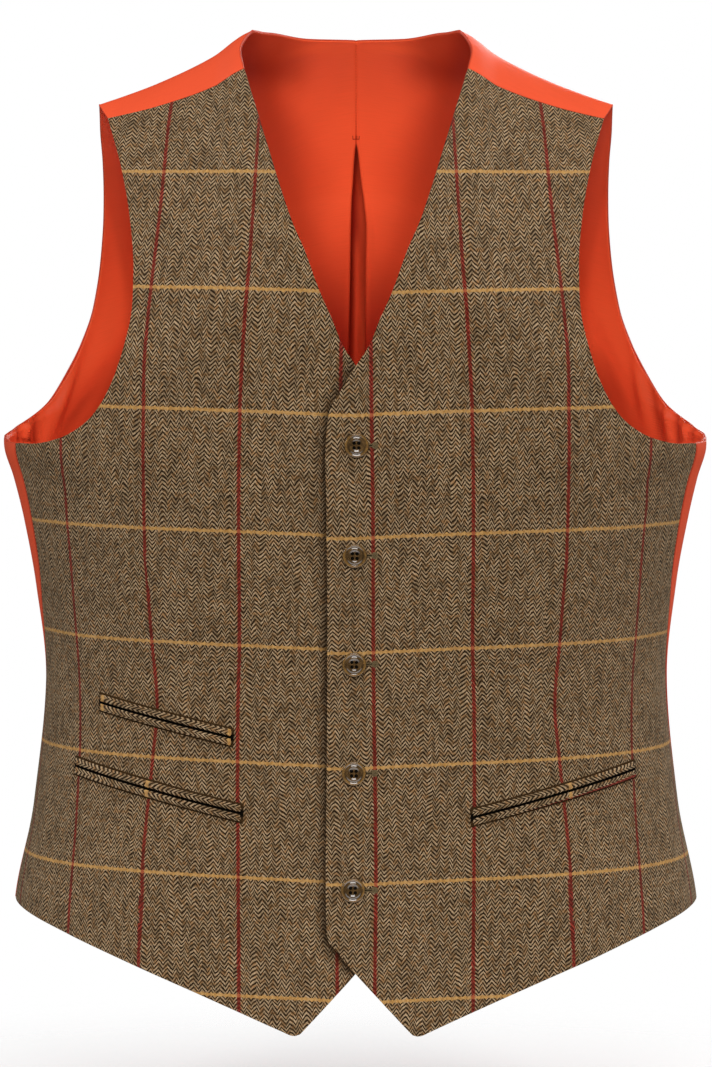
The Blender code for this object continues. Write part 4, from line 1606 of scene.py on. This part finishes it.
def make_centre_seam(material, sizes):
    """The fine stitches down the lining's middle, from the neck to the tack."""
    def place(across, up, out):
        return on_lining(across, up, out, sizes)

    whole = bmesh.new()
    count = int((SEAM_LEVELS[0] - SEAM_LEVELS[1]) / SEAM_PITCH)
    for number in range(count):
        top = SEAM_LEVELS[0] - number * SEAM_PITCH
        line = np.linspace((0.0, top), (0.0, top - SEAM_STITCH), SEAM_STEPS)
        join(whole, ridge_shape(line, SEAM_HALF, SEAM_RISE, place))
    return add_piece("centre_seam_thread", whole, (material,))


class Number:
    """A number socket of a material: sums, products and functions of it add Math nodes."""

    def __init__(self, finish, socket):
        self.finish = finish
        self.socket = socket

    def calc(self, operation, *values):
        return self.finish.add("ShaderNodeMath", {"operation": operation}, dict(enumerate(values)))

    def __add__(self, other):
        return self.calc("ADD", self, other)

    def __radd__(self, other):
        return self.calc("ADD", other, self)

    def __sub__(self, other):
        return self.calc("SUBTRACT", self, other)

    def __rsub__(self, other):
        return self.calc("SUBTRACT", other, self)

    def __mul__(self, other):
        return self.calc("MULTIPLY", self, other)

    def __rmul__(self, other):
        return self.calc("MULTIPLY", other, self)

    def __truediv__(self, other):
        return self.calc("DIVIDE", self, other)

    def __rtruediv__(self, other):
        return self.calc("DIVIDE", other, self)

    def __abs__(self):
        return self.calc("ABSOLUTE", self)

    def fraction(self):
        return self.calc("FRACT", self)

    def whole(self):
        return self.calc("FLOOR", self)

    def zigzag(self, size):
        """Up and down between 0 and size."""
        return self.calc("PINGPONG", self, size)

    def rises(self, start, end):
        """0 before start, 1 after end, soft between."""
        return self.finish.add(
            "ShaderNodeMapRange",
            {"interpolation_type": "SMOOTHSTEP"},
            {"Value": self, "From Min": start, "From Max": end},
        )


class Finish:
    """A material being built: its Principled shader's fixed values, and nodes that vary them."""

    def __init__(self, name, **fixed):
        self.material = bpy.data.materials.new(name)
        self.material.use_nodes = True
        self.tree = self.material.node_tree
        self.shader = self.tree.nodes["Principled BSDF"]
        for socket, value in fixed.items():
            self.shader.inputs[socket.replace("_", " ")].default_value = value

    def add(self, kind, settings=None, inputs=None, output=0):
        """A node with its settings and its sockets' values or links; returns one of its outputs."""
        node = self.tree.nodes.new(kind)
        for name, value in (settings or {}).items():
            setattr(node, name, value)
        for name, value in (inputs or {}).items():
            if isinstance(value, Number):
                self.tree.links.new(value.socket, node.inputs[name])
            else:
                node.inputs[name].default_value = value
        return Number(self, node.outputs[output])

    def chart(self):
        """The cloth's own chart, as its two sockets in millimetres."""
        vector = self.add("ShaderNodeUVMap", {"uv_map": "Cloth"})
        across = self.add("ShaderNodeSeparateXYZ", None, {"Vector": vector})
        down = Number(self, across.socket.node.outputs["Y"])
        return across * (1 / MM), down * (1 / MM)

    def own_place(self):
        """The piece's own coordinates, in metres."""
        return self.add("ShaderNodeTexCoord", None, None, output=3)

    def shade(self):
        """The painted shade stored on the piece, from 0 to 1, standing for shadow where it lies under
        another piece or in a fold.
        """
        return self.add("ShaderNodeAttribute", {"attribute_name": "Shade"}, None, output=2)

    def place(self, across, down):
        """A point of a flat pattern, from two numbers."""
        return self.add("ShaderNodeCombineXYZ", None, {"X": across, "Y": down})

    def noise(self, vector, scale, detail=2.0):
        """Soft clouds between 0 and 1, mostly near the middle."""
        sockets = {"Vector": vector, "Scale": scale, "Detail": detail}
        return self.add("ShaderNodeTexNoise", {"noise_dimensions": "2D"}, sockets)

    def speckle(self, vector):
        """Any number between 0 and 1, the same all over a whole step of its point."""
        return self.add("ShaderNodeTexWhiteNoise", {"noise_dimensions": "2D"}, {"Vector": vector})

    def blend(self, share, first, second):
        """A colour between two colours, which may be sockets or three numbers."""
        inputs = {0: share}
        for key, value in ((6, first), (7, second)):
            inputs[key] = value if isinstance(value, Number) else (*value, 1.0)
        return self.add("ShaderNodeMix", {"data_type": "RGBA"}, inputs, output=2)

    def bump(self, height, strength, distance):
        """A normal for fine relief that is too small to model."""
        sockets = {"Height": height, "Strength": strength, "Distance": distance}
        return self.add("ShaderNodeBump", None, sockets)

    def show(self, **sockets):
        """Link sockets to the shader, and return the finished material."""
        for name, value in sockets.items():
            self.tree.links.new(value.socket, self.shader.inputs[name.replace("_", " ")])
        return self.material


def cached(name, build):
    """A material by its name, built the first time it is asked for."""
    return bpy.data.materials.get(name) or build(name)


# The weave, in millimetres: the width of one up and down of the herringbone, and the pitch of its ribs.
ZIG_WIDTH = 5.5
RIB_PITCH = 2.7
RIB_SLOPE = 1.28
YARN_WIDTH = 0.9
LANE_SPREAD = 3.4
RED_HALF = 1.05
RED_DASH = 2.9
RED_SLOPE = 1.5
GOLDEN_HALF = 0.82
GOLDEN_TEETH = 0.6
GOLDEN_POINTS = 2.4
# The satin: the pitch of its slanting threads, and how dark its cloudy places are.
SATIN_PITCH = 0.42
SATIN_CLOUD = 0.88


def build_tweed(name):
    """Herringbone wool with a windowpane check, worked out from the cloth's chart, darkened by the piece's
    painted shade.
    """
    colours = context_colours()
    sizes = context_sizes()
    finish = Finish(
        name,
        Specular_IOR_Level=0.12,
        Sheen_Weight=0.04,
        Sheen_Roughness=0.6,
        Sheen_Tint=(0.95, 0.86, 0.7, 1.0),
    )
    across, down = finish.chart()
    cloth = finish.place(across, down)
    # The ribs, up and down in columns that wander a little, and the yarns that they are made of.
    lanes = finish.noise(finish.place(across, down * 0.12), 0.16, 1.0) - 0.5
    drift = finish.noise(finish.place(across + 40, down), 0.09, 1.0) - 0.5
    column = across + lanes * LANE_SPREAD
    stripe = (column / (ZIG_WIDTH / 2)).whole()
    step = finish.noise(finish.place(stripe * 7.3, down * 0.05), 1.0, 0.0) - 0.5
    rise = column.zigzag(ZIG_WIDTH / 2)
    rib = (down + rise * RIB_SLOPE) / RIB_PITCH + step * 0.8 + drift * 0.6
    wave = abs(rib.fraction() - 0.5) * 2
    yarn = finish.place((column / YARN_WIDTH).whole(), rib.whole())
    tint = finish.speckle(yarn)
    dash = finish.speckle(finish.place(stripe, rib.whole()))
    fibre = finish.noise(cloth, 1.5, 2.0)
    light = (wave + (fibre - 0.5) * 0.4 + (tint - 0.5) * 0.1).rises(0.38, 0.66)

    # The mottled colours of the light and dark ribs.
    tone = finish.noise(cloth, 0.45, 3.0)
    cloud = finish.noise(cloth, 0.035, 2.0)
    rust = finish.noise(finish.place(across, down + 90), 0.3, 2.0)
    pale = finish.blend(tone.rises(0.42, 0.62) * 0.8, colours.tweed_light, colours.tweed_grey)
    pale = finish.blend(rust.rises(0.47, 0.67) * (0.35 + tint * 0.65), pale, colours.tweed_warm)
    pale = finish.blend(dash.rises(0.3, 1.0) * 0.6, pale, colours.tweed_brown)
    deep = finish.blend(rust.rises(0.4, 0.7), colours.tweed_dark_and_shade, colours.tweed_brown)
    ground = finish.blend(light, deep, pale)
    ground = finish.blend(cloud.rises(0.35, 0.75) * 0.12, ground, colours.tweed_dark_and_shade)

    # The red lines, in slanting dashes.
    red_pitch = sizes.red_pitch / MM
    from_red = abs((across / red_pitch + 0.5).fraction() - 0.5) * red_pitch
    turns = (down - across * RED_SLOPE) / RED_DASH + drift * 1.5 + (fibre - 0.5) * 0.3
    strand = finish.speckle(finish.place((across / red_pitch + 0.5).whole(), turns.whole()))
    twill = (abs(turns.fraction() - 0.5) * 2).rises(0.2, 0.6)
    red = finish.blend(twill * (0.15 + strand * 0.85), colours.red_dark, colours.red_light)
    red = finish.blend((1 - light) * 0.45, red, colours.red_dark)
    on_red = 1 - (from_red - twill * 0.35 + (fibre - 0.5) * 0.7).rises(RED_HALF - 0.35, RED_HALF + 0.1)
    checked = finish.blend(on_red * 0.94, ground, red)

    # The golden lines, with teeth where they cross the ribs.
    golden_pitch = sizes.golden_pitch / MM
    from_golden = ((down / golden_pitch + 0.5).fraction() - 0.5) * golden_pitch
    teeth = rise / (ZIG_WIDTH / 2) - 0.5
    from_golden = abs(from_golden + teeth * GOLDEN_TEETH + drift * 0.5) - teeth * teeth * GOLDEN_POINTS
    on_golden = 1 - (from_golden + (fibre - 0.5) * 0.7).rises(GOLDEN_HALF - 0.25, GOLDEN_HALF + 0.2)
    golden = finish.blend(tone.rises(0.35, 0.65), colours.golden_dark, colours.golden_light)
    golden = finish.blend(tint.rises(0.3, 1.0) * 0.2, golden, colours.tweed_light)
    golden = finish.blend(on_red * 0.75, golden, colours.red_light)
    checked = finish.blend(on_golden * 0.9, checked, golden)
    # Painted shade: darken the cloth towards its dark ribs' colour by the piece's Shade.
    checked = finish.blend(finish.shade(), checked, colours.tweed_dark_and_shade)

    height = light * 0.8 + fibre * 0.5 + on_golden * 0.2
    roughness = 0.88 + fibre * 0.12
    normal = finish.bump(height, 0.5, 0.2 * MM)
    return finish.show(Base_Color=checked, Roughness=roughness, Normal=normal)


def build_satin(name):
    """Smooth satin with a soft gloss and the faint slubs of its yarn, darkened by the piece's painted
    shade.
    """
    colours = context_colours()
    main = colours.satin if name == "Satin" else colours.lining
    finish = Finish(
        name,
        Specular_IOR_Level=0.3,
        Sheen_Weight=0.04,
        Sheen_Roughness=0.4,
        Sheen_Tint=(1.0, 0.45, 0.3, 1.0),
    )
    across, down = finish.chart()
    slub = finish.noise(finish.place(across * 0.12, down * 3.0), 0.6, 2.0)
    cloud = finish.noise(finish.place(across, down), 0.03, 2.0)
    weave = ((across + down * 0.5) / SATIN_PITCH).fraction()
    thread = abs(weave - 0.5) * 2
    darker = tuple(part * SATIN_CLOUD for part in main)
    colour = finish.blend(slub.rises(0.35, 0.8) * 0.35 + cloud.rises(0.3, 0.8) * 0.3, main, darker)
    # Painted shade: blend towards a deep red by the piece's Shade.
    colour = finish.blend(finish.shade(), colour, colours.lining_deep)
    roughness = 0.44 + slub * 0.12
    normal = finish.bump(thread * 0.35 + slub * 0.6, 0.12, 0.1 * MM)
    return finish.show(Base_Color=colour, Roughness=roughness, Normal=normal)


def build_horn(name):
    """Polished horn: a brown middle and a warm rim, mottled, with a painted shade in its groove and a
    painted contact shadow at its edge.
    """
    colours = context_colours()
    finish = Finish(name, Specular_IOR_Level=0.3, Coat_Weight=1.0, Coat_Roughness=0.07, Coat_IOR=2.0)
    radius, _ = finish.chart()
    streaks = {"Vector": finish.own_place(), "Scale": 260.0, "Detail": 4.0, "Distortion": 1.4}
    streak = finish.add("ShaderNodeTexNoise", None, streaks)
    middle = finish.blend(streak.rises(0.35, 0.7), colours.horn, colours.horn_dark_and_shade)
    rim = finish.blend(streak.rises(0.3, 0.75), colours.horn_rim, colours.horn)
    inner, outer = GROOVE_RADII
    # Painted shade in the groove, and a painted contact shadow at the edge.
    groove = (1 - (radius - outer).rises(0.0, GROOVE_SOFT)) * (radius - inner).rises(0.0, GROOVE_SOFT)
    colour = finish.blend(radius.rises(*RIM_RADII), middle, rim)
    colour = finish.blend(groove * 0.7, colour, colours.horn_dark_and_shade)
    colour = finish.blend(radius.rises(*EDGE_RADII) * 0.85, colour, colours.horn_dark_and_shade)
    roughness = 0.24 + streak * 0.12
    return finish.show(Base_Color=colour, Roughness=roughness)


def build_thread(name):
    """Sewing thread: fine twisted strands, with painted shade between them."""
    colours = context_colours()
    chosen = {
        "Hole thread": colours.thread,
        "Button thread": colours.dark,
        "Tack thread": colours.tack,
    }[name]
    finish = Finish(name, Roughness=0.8, Specular_IOR_Level=0.25)
    along, beside = finish.chart()
    strand = ((along + beside * 0.8) / STITCH_PITCH).fraction()
    strand = abs(strand - 0.5) * 2
    # Painted shade between the strands: the colour is half as bright there.
    between = tuple(part * 0.5 for part in chosen)
    colour = finish.blend(strand.rises(0.1, 0.6), between, chosen)
    return finish.show(Base_Color=colour, Normal=finish.bump(strand, 0.6, 0.15 * MM))


def build_shadow_sheet(name):
    """A painted shadow: near-black for the shade inside a pocket or a slit, with painted shaded tweed at
    its edges.
    """
    colours = context_colours()
    finish = Finish(name, Roughness=1.0, Specular_IOR_Level=0.05)
    along, up = finish.chart()
    fibre = finish.noise(finish.place(along, up), 1.8, 2.0)
    rim = finish.blend(fibre.rises(0.3, 0.7), colours.tweed_dark_and_shade, colours.tweed_brown)
    return finish.show(Base_Color=finish.blend(abs(up).rises(*MOUTH_RIM), colours.dark, rim))


def build_floor(name):
    """A pale floor that fades out at its rim."""
    colours = context_colours()
    finish = Finish(
        name,
        Roughness=0.7,
        Specular_IOR_Level=0.2,
        Base_Color=(*colours.floor, 1.0),
        Emission_Color=(1.0, 1.0, 1.0, 1.0),
        Emission_Strength=0.12,
    )
    away = finish.add("ShaderNodeVectorMath", {"operation": "LENGTH"}, {0: finish.own_place()}, output=1)
    return finish.show(Alpha=1 - away.rises(*FLOOR_FADE))


FLOOR_FADE = (0.3, 0.75)
FLOOR_RADIUS = 0.8
FLOOR_SIDES = 96
FLOOR_LEVEL = -0.72

# The camera stands far off, a little above the garment's middle, and looks straight at it.
CAMERA_AWAY = 3.2
CAMERA_RISE = 4.0
CAMERA_LEVEL = -0.29904
CAMERA_LENS = 167.4
CAMERA_CLIP = 60

LIGHT_COLUMNS = ("name", "place", "size", "power", "glints")
LIGHTS = (
    ("front_left", (1.0, -2.8, 0.9), (0.5, 0.5), 26.0, False),
    ("front_right", (-1.0, -2.8, 0.9), (0.5, 0.5), 26.0, False),
    ("front_middle", (0.0, -3.0, 0.5), (0.3, 0.3), 17.0, False),
    ("top", (0.0, -1.5, 1.9), (1.8, 1.1), 25.0, True),
    ("left_side", (2.4, 0.6, 0.8), (0.8, 1.2), 37.0, True),
    ("right_side", (-2.4, 0.4, 0.8), (0.8, 1.2), 26.0, True),
    ("back", (1.1, 2.5, 0.9), (1.2, 0.8), 30.0, True),
)
WORLD_STRENGTH = 0.03
WHITE = (1, 1, 1, 1)


def aim(thing, target):
    """Turn a lamp or camera towards a point."""
    away = Vector(target) - thing.location
    thing.rotation_euler = away.to_track_quat("-Z", "Y").to_euler()


def add_light(name, place, size, power, glints):
    """A soft square lamp, which shows in glossy pieces only where glints is true."""
    lamp = bpy.data.lights.new(name, "AREA")
    lamp.shape = "RECTANGLE"
    lamp.size, lamp.size_y = size
    lamp.energy = power
    thing = bpy.data.objects.new(name, lamp)
    bpy.context.scene.collection.objects.link(thing)
    thing.location = place
    thing.visible_glossy = glints
    aim(thing, (0, 0, CAMERA_LEVEL))


def make_studio():
    """A white surround whose light on the garment is softer than it looks."""
    world = bpy.data.worlds.new("studio")
    world.use_nodes = True
    nodes = world.node_tree.nodes
    links = world.node_tree.links
    surround = nodes["Background"]
    surround.inputs["Strength"].default_value = WORLD_STRENGTH
    surround.inputs["Color"].default_value = WHITE
    backdrop = nodes.new("ShaderNodeBackground")
    backdrop.inputs["Color"].default_value = WHITE
    seen = nodes.new("ShaderNodeLightPath")
    mix = nodes.new("ShaderNodeMixShader")
    links.new(seen.outputs["Is Camera Ray"], mix.inputs[0])
    links.new(surround.outputs[0], mix.inputs[1])
    links.new(backdrop.outputs[0], mix.inputs[2])
    links.new(mix.outputs[0], nodes["World Output"].inputs["Surface"])
    return world


def add_camera():
    """The camera, aimed at the garment's middle."""
    lens = bpy.data.cameras.new("camera")
    lens.lens = CAMERA_LENS
    lens.clip_end = CAMERA_CLIP
    camera = bpy.data.objects.new("camera", lens)
    bpy.context.scene.collection.objects.link(camera)
    rise = math.radians(CAMERA_RISE)
    camera.location = (0, -CAMERA_AWAY * math.cos(rise), CAMERA_LEVEL + CAMERA_AWAY * math.sin(rise))
    aim(camera, (0, 0, CAMERA_LEVEL))
    bpy.context.scene.camera = camera


def colour_setting(name, description, default):
    kind = {"size": 3, "subtype": "COLOR", "min": 0.0, "max": 1.0}
    return bpy.props.FloatVectorProperty(name=name, description=description, default=default, **kind)


def length_setting(name, description, default):
    kind = {"unit": "LENGTH", "precision": 5}
    return bpy.props.FloatProperty(name=name, description=description, default=default, **kind)


class WaistcoatSizes(bpy.types.PropertyGroup):
    """Sizes of the cloth and its trim."""

    front_wall: length_setting("Front thickness", "Tweed, interlining and facing together", 2.2 * MM)
    back_wall: length_setting("Back thickness", "Satin of the outer back", 1.2 * MM)
    lining_wall: length_setting("Lining thickness", "Satin of the back's lining", 0.5 * MM)
    edge_roll: length_setting("Edge roll", "Rounding of the turned edges", 0.7 * MM)
    red_pitch: length_setting("Red pitch", "Between two red lines of the check", 63 * MM)
    golden_pitch: length_setting("Golden pitch", "Between two golden lines of the check", 73.1 * MM)
    pleat_layer: length_setting("Pleat layer", "Half the height of one fold of the pleat", 1.5 * MM)
    hole_radius: length_setting("Hole radius", "Radius of a button's thread holes", 1.1 * MM)
    hole_spacing: length_setting("Hole spacing", "Between two thread holes of a button", 2.9 * MM)
    crease_share: bpy.props.FloatProperty(
        name="Creases", description="How deep the soft creases are", default=1.0, min=0.0, max=2.0
    )


class WaistcoatColours(bpy.types.PropertyGroup):
    """Colours of the cloth and its trim."""

    tweed_light: colour_setting("Tweed light", "Tan ribs of the herringbone", (0.47, 0.325, 0.190))
    tweed_warm: colour_setting("Tweed warm", "Rust yarns among the tan", (0.34, 0.170, 0.066))
    tweed_grey: colour_setting("Tweed grey", "Grey-green yarns among the tan", (0.27, 0.190, 0.100))
    # The dark ribs' colour is also used for the painted shade on the fronts and round the pockets.
    tweed_dark_and_shade: colour_setting("Tweed dark", "Dark ribs of the herringbone", (0.017, 0.0080, 0.003))
    tweed_brown: colour_setting("Tweed brown", "Brown yarns among the dark", (0.062, 0.033, 0.012))
    golden_light: colour_setting("Golden light", "Bright yarn of the golden line", (0.54, 0.30, 0.095))
    golden_dark: colour_setting("Golden dark", "Deep yarn of the golden line", (0.38, 0.19, 0.050))
    red_light: colour_setting("Red light", "Bright yarn of the red line", (0.33, 0.038, 0.024))
    red_dark: colour_setting("Red dark", "Deep yarn of the red line", (0.075, 0.005, 0.003))
    satin: colour_setting("Satin", "Outer back", (0.86, 0.092, 0.030))
    lining: colour_setting("Lining", "Lining of the back and fronts", (0.92, 0.115, 0.036))
    # The colour that the satin's painted shade blends to.
    lining_deep: colour_setting("Lining deep", "Satin where it is darkest", (0.20, 0.0025, 0.0004))
    horn: colour_setting("Horn", "Middle of a button", (0.125, 0.068, 0.022))
    # The dark streaks' colour also paints the shade in a button's groove and the contact shadow at its
    # edge.
    horn_dark_and_shade: colour_setting("Horn dark", "Dark streaks of a button", (0.050, 0.026, 0.007))
    horn_rim: colour_setting("Horn rim", "Warm rim of a button", (0.27, 0.140, 0.034))
    thread: colour_setting("Buttonhole thread", "Thread round the buttonholes", (0.155, 0.108, 0.052))
    tack: colour_setting("Tack thread", "Thread of the bar tack", (0.34, 0.020, 0.006))
    # Near-black, both the button thread's colour and the painted shadow in pockets and slits.
    dark: colour_setting("Dark", "Inside of pockets and slits", (0.004, 0.003, 0.002))
    floor: colour_setting("Floor", "Floor under the garment", (0.93, 0.93, 0.93))


# The share of the fronts' edge rounding that the thinner back has.
BACK_EDGE_SHARE = 0.3


class WAISTCOAT_OT_fronts(bpy.types.Operator):
    """Lay the two tweed fronts on their solids"""

    bl_idname = "waistcoat.fronts"
    bl_label = "Fronts"

    def execute(self, context):
        sizes = context.scene.waistcoat_sizes
        materials = (cached("Tweed", build_tweed), cached("Lining", build_satin))
        for hand in (1, -1):
            make_front(hand, materials, sizes.front_wall, sizes.edge_roll)
        return {"FINISHED"}


class WAISTCOAT_OT_back(bpy.types.Operator):
    """Lay the two halves of the satin back on their solids"""

    bl_idname = "waistcoat.back"
    bl_label = "Back"

    def execute(self, context):
        sizes = context.scene.waistcoat_sizes
        materials = (cached("Satin", build_satin),)
        for hand in (1, -1):
            piece = make_back(hand, materials, sizes.back_wall, BACK_EDGE_SHARE * sizes.edge_roll)
        return {"FINISHED"}


class WAISTCOAT_OT_lining(bpy.types.Operator):
    """Lay the back's lining, with its box pleat and the tack that closes it"""

    bl_idname = "waistcoat.lining"
    bl_label = "Lining"

    def execute(self, context):
        sizes = context.scene.waistcoat_sizes
        lining = make_lining((cached("Lining", build_satin),), sizes)
        tack = make_tack(cached("Tack thread", build_thread), sizes)
        seam = make_centre_seam(cached("Tack thread", build_thread), sizes)
        return {"FINISHED"}


class WAISTCOAT_OT_pockets(bpy.types.Operator):
    """Sew the jets of the three pockets to the fronts"""

    bl_idname = "waistcoat.pockets"
    bl_label = "Pockets"

    def execute(self, context):
        for entry in POCKETS:
            pocket = dict(zip(POCKET_COLUMNS, entry))
            for label, sign in (("upper", 1), ("lower", -1)):
                make_jet(pocket, label, sign, (cached("Tweed", build_tweed),))
            make_mouth(pocket, (cached("Pocket dark", build_shadow_sheet),))
        return {"FINISHED"}


class WAISTCOAT_OT_buttons(bpy.types.Operator):
    """Sew on the five buttons and work their buttonholes"""

    bl_idname = "waistcoat.buttons"
    bl_label = "Buttons"

    def execute(self, context):
        sizes = context.scene.waistcoat_sizes
        edges = (cached("Hole thread", build_thread), cached("Pocket dark", build_shadow_sheet))
        for number, (across, height) in enumerate(zip(BUTTON_ACROSS, BUTTON_HEIGHTS), start=1):
            make_button(number, across, height, cached("Horn", build_horn), sizes)
            make_button_thread(number, across, height, cached("Button thread", build_thread), sizes)
            make_buttonhole(number, height, edges)
        return {"FINISHED"}


class WAISTCOAT_OT_declare(bpy.types.Operator):
    """Collect the pockets and buttons sewn on each front; nothing more is done with them"""

    bl_idname = "waistcoat.declare"
    bl_label = "Cut of the fronts"

    def execute(self, context):
        trims = {1: [], -1: []}
        for thing in context.scene.objects:
            if thing.name.startswith(("pocket_left", "button")) and "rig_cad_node" not in thing:
                trims[1].append(thing)
            elif thing.name.startswith("pocket_") and "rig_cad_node" not in thing:
                trims[-1].append(thing)
        return {"FINISHED"}


class WAISTCOAT_OT_stage(bpy.types.Operator):
    """Set the pale floor, the soft lights and the camera"""

    bl_idname = "waistcoat.stage"
    bl_label = "Stage"

    def execute(self, context):
        scene = context.scene
        shape = bmesh.new()
        bmesh.ops.create_circle(shape, cap_ends=True, segments=FLOOR_SIDES, radius=FLOOR_RADIUS)
        floor = add_object("floor", shape, (cached("Floor", build_floor),))
        floor.location.z = FLOOR_LEVEL
        scene.world = make_studio()
        scene.view_settings.view_transform = "Standard"
        for entry in LIGHTS:
            add_light(**dict(zip(LIGHT_COLUMNS, entry)))
        add_camera()
        return {"FINISHED"}


class WAISTCOAT_PT_panel(bpy.types.Panel):
    """The waistcoat's sizes, colours and steps"""

    bl_label = "Suit Waistcoat"
    bl_idname = "WAISTCOAT_PT_panel"
    bl_space_type = "VIEW_3D"
    bl_region_type = "UI"
    bl_category = "Waistcoat"

    def draw(self, context):
        layout = self.layout
        for step in STEPS:
            layout.operator(step.bl_idname)
        for group in (context.scene.waistcoat_sizes, context.scene.waistcoat_colours):
            box = layout.box()
            for setting in group.bl_rna.properties.keys():
                if setting not in ("rna_type", "name"):
                    box.prop(group, setting)


STEPS = (
    WAISTCOAT_OT_fronts,
    WAISTCOAT_OT_back,
    WAISTCOAT_OT_lining,
    WAISTCOAT_OT_pockets,
    WAISTCOAT_OT_buttons,
    WAISTCOAT_OT_declare,
    WAISTCOAT_OT_stage,
)
GROUPS = (WaistcoatSizes, WaistcoatColours)


def register():
    for entry in (*GROUPS, *STEPS, WAISTCOAT_PT_panel):
        bpy.utils.register_class(entry)
    bpy.types.Scene.waistcoat_sizes = bpy.props.PointerProperty(type=WaistcoatSizes)
    bpy.types.Scene.waistcoat_colours = bpy.props.PointerProperty(type=WaistcoatColours)


def unregister():
    del bpy.types.Scene.waistcoat_colours
    del bpy.types.Scene.waistcoat_sizes
    for entry in reversed((*GROUPS, *STEPS, WAISTCOAT_PT_panel)):
        bpy.utils.unregister_class(entry)


def main():
    register()
    bpy.ops.waistcoat.fronts()
    bpy.ops.waistcoat.back()
    bpy.ops.waistcoat.lining()
    bpy.ops.waistcoat.pockets()
    bpy.ops.waistcoat.buttons()
    bpy.ops.waistcoat.declare()
    bpy.ops.waistcoat.stage()
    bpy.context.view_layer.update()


if __name__ == "__main__":
    main()
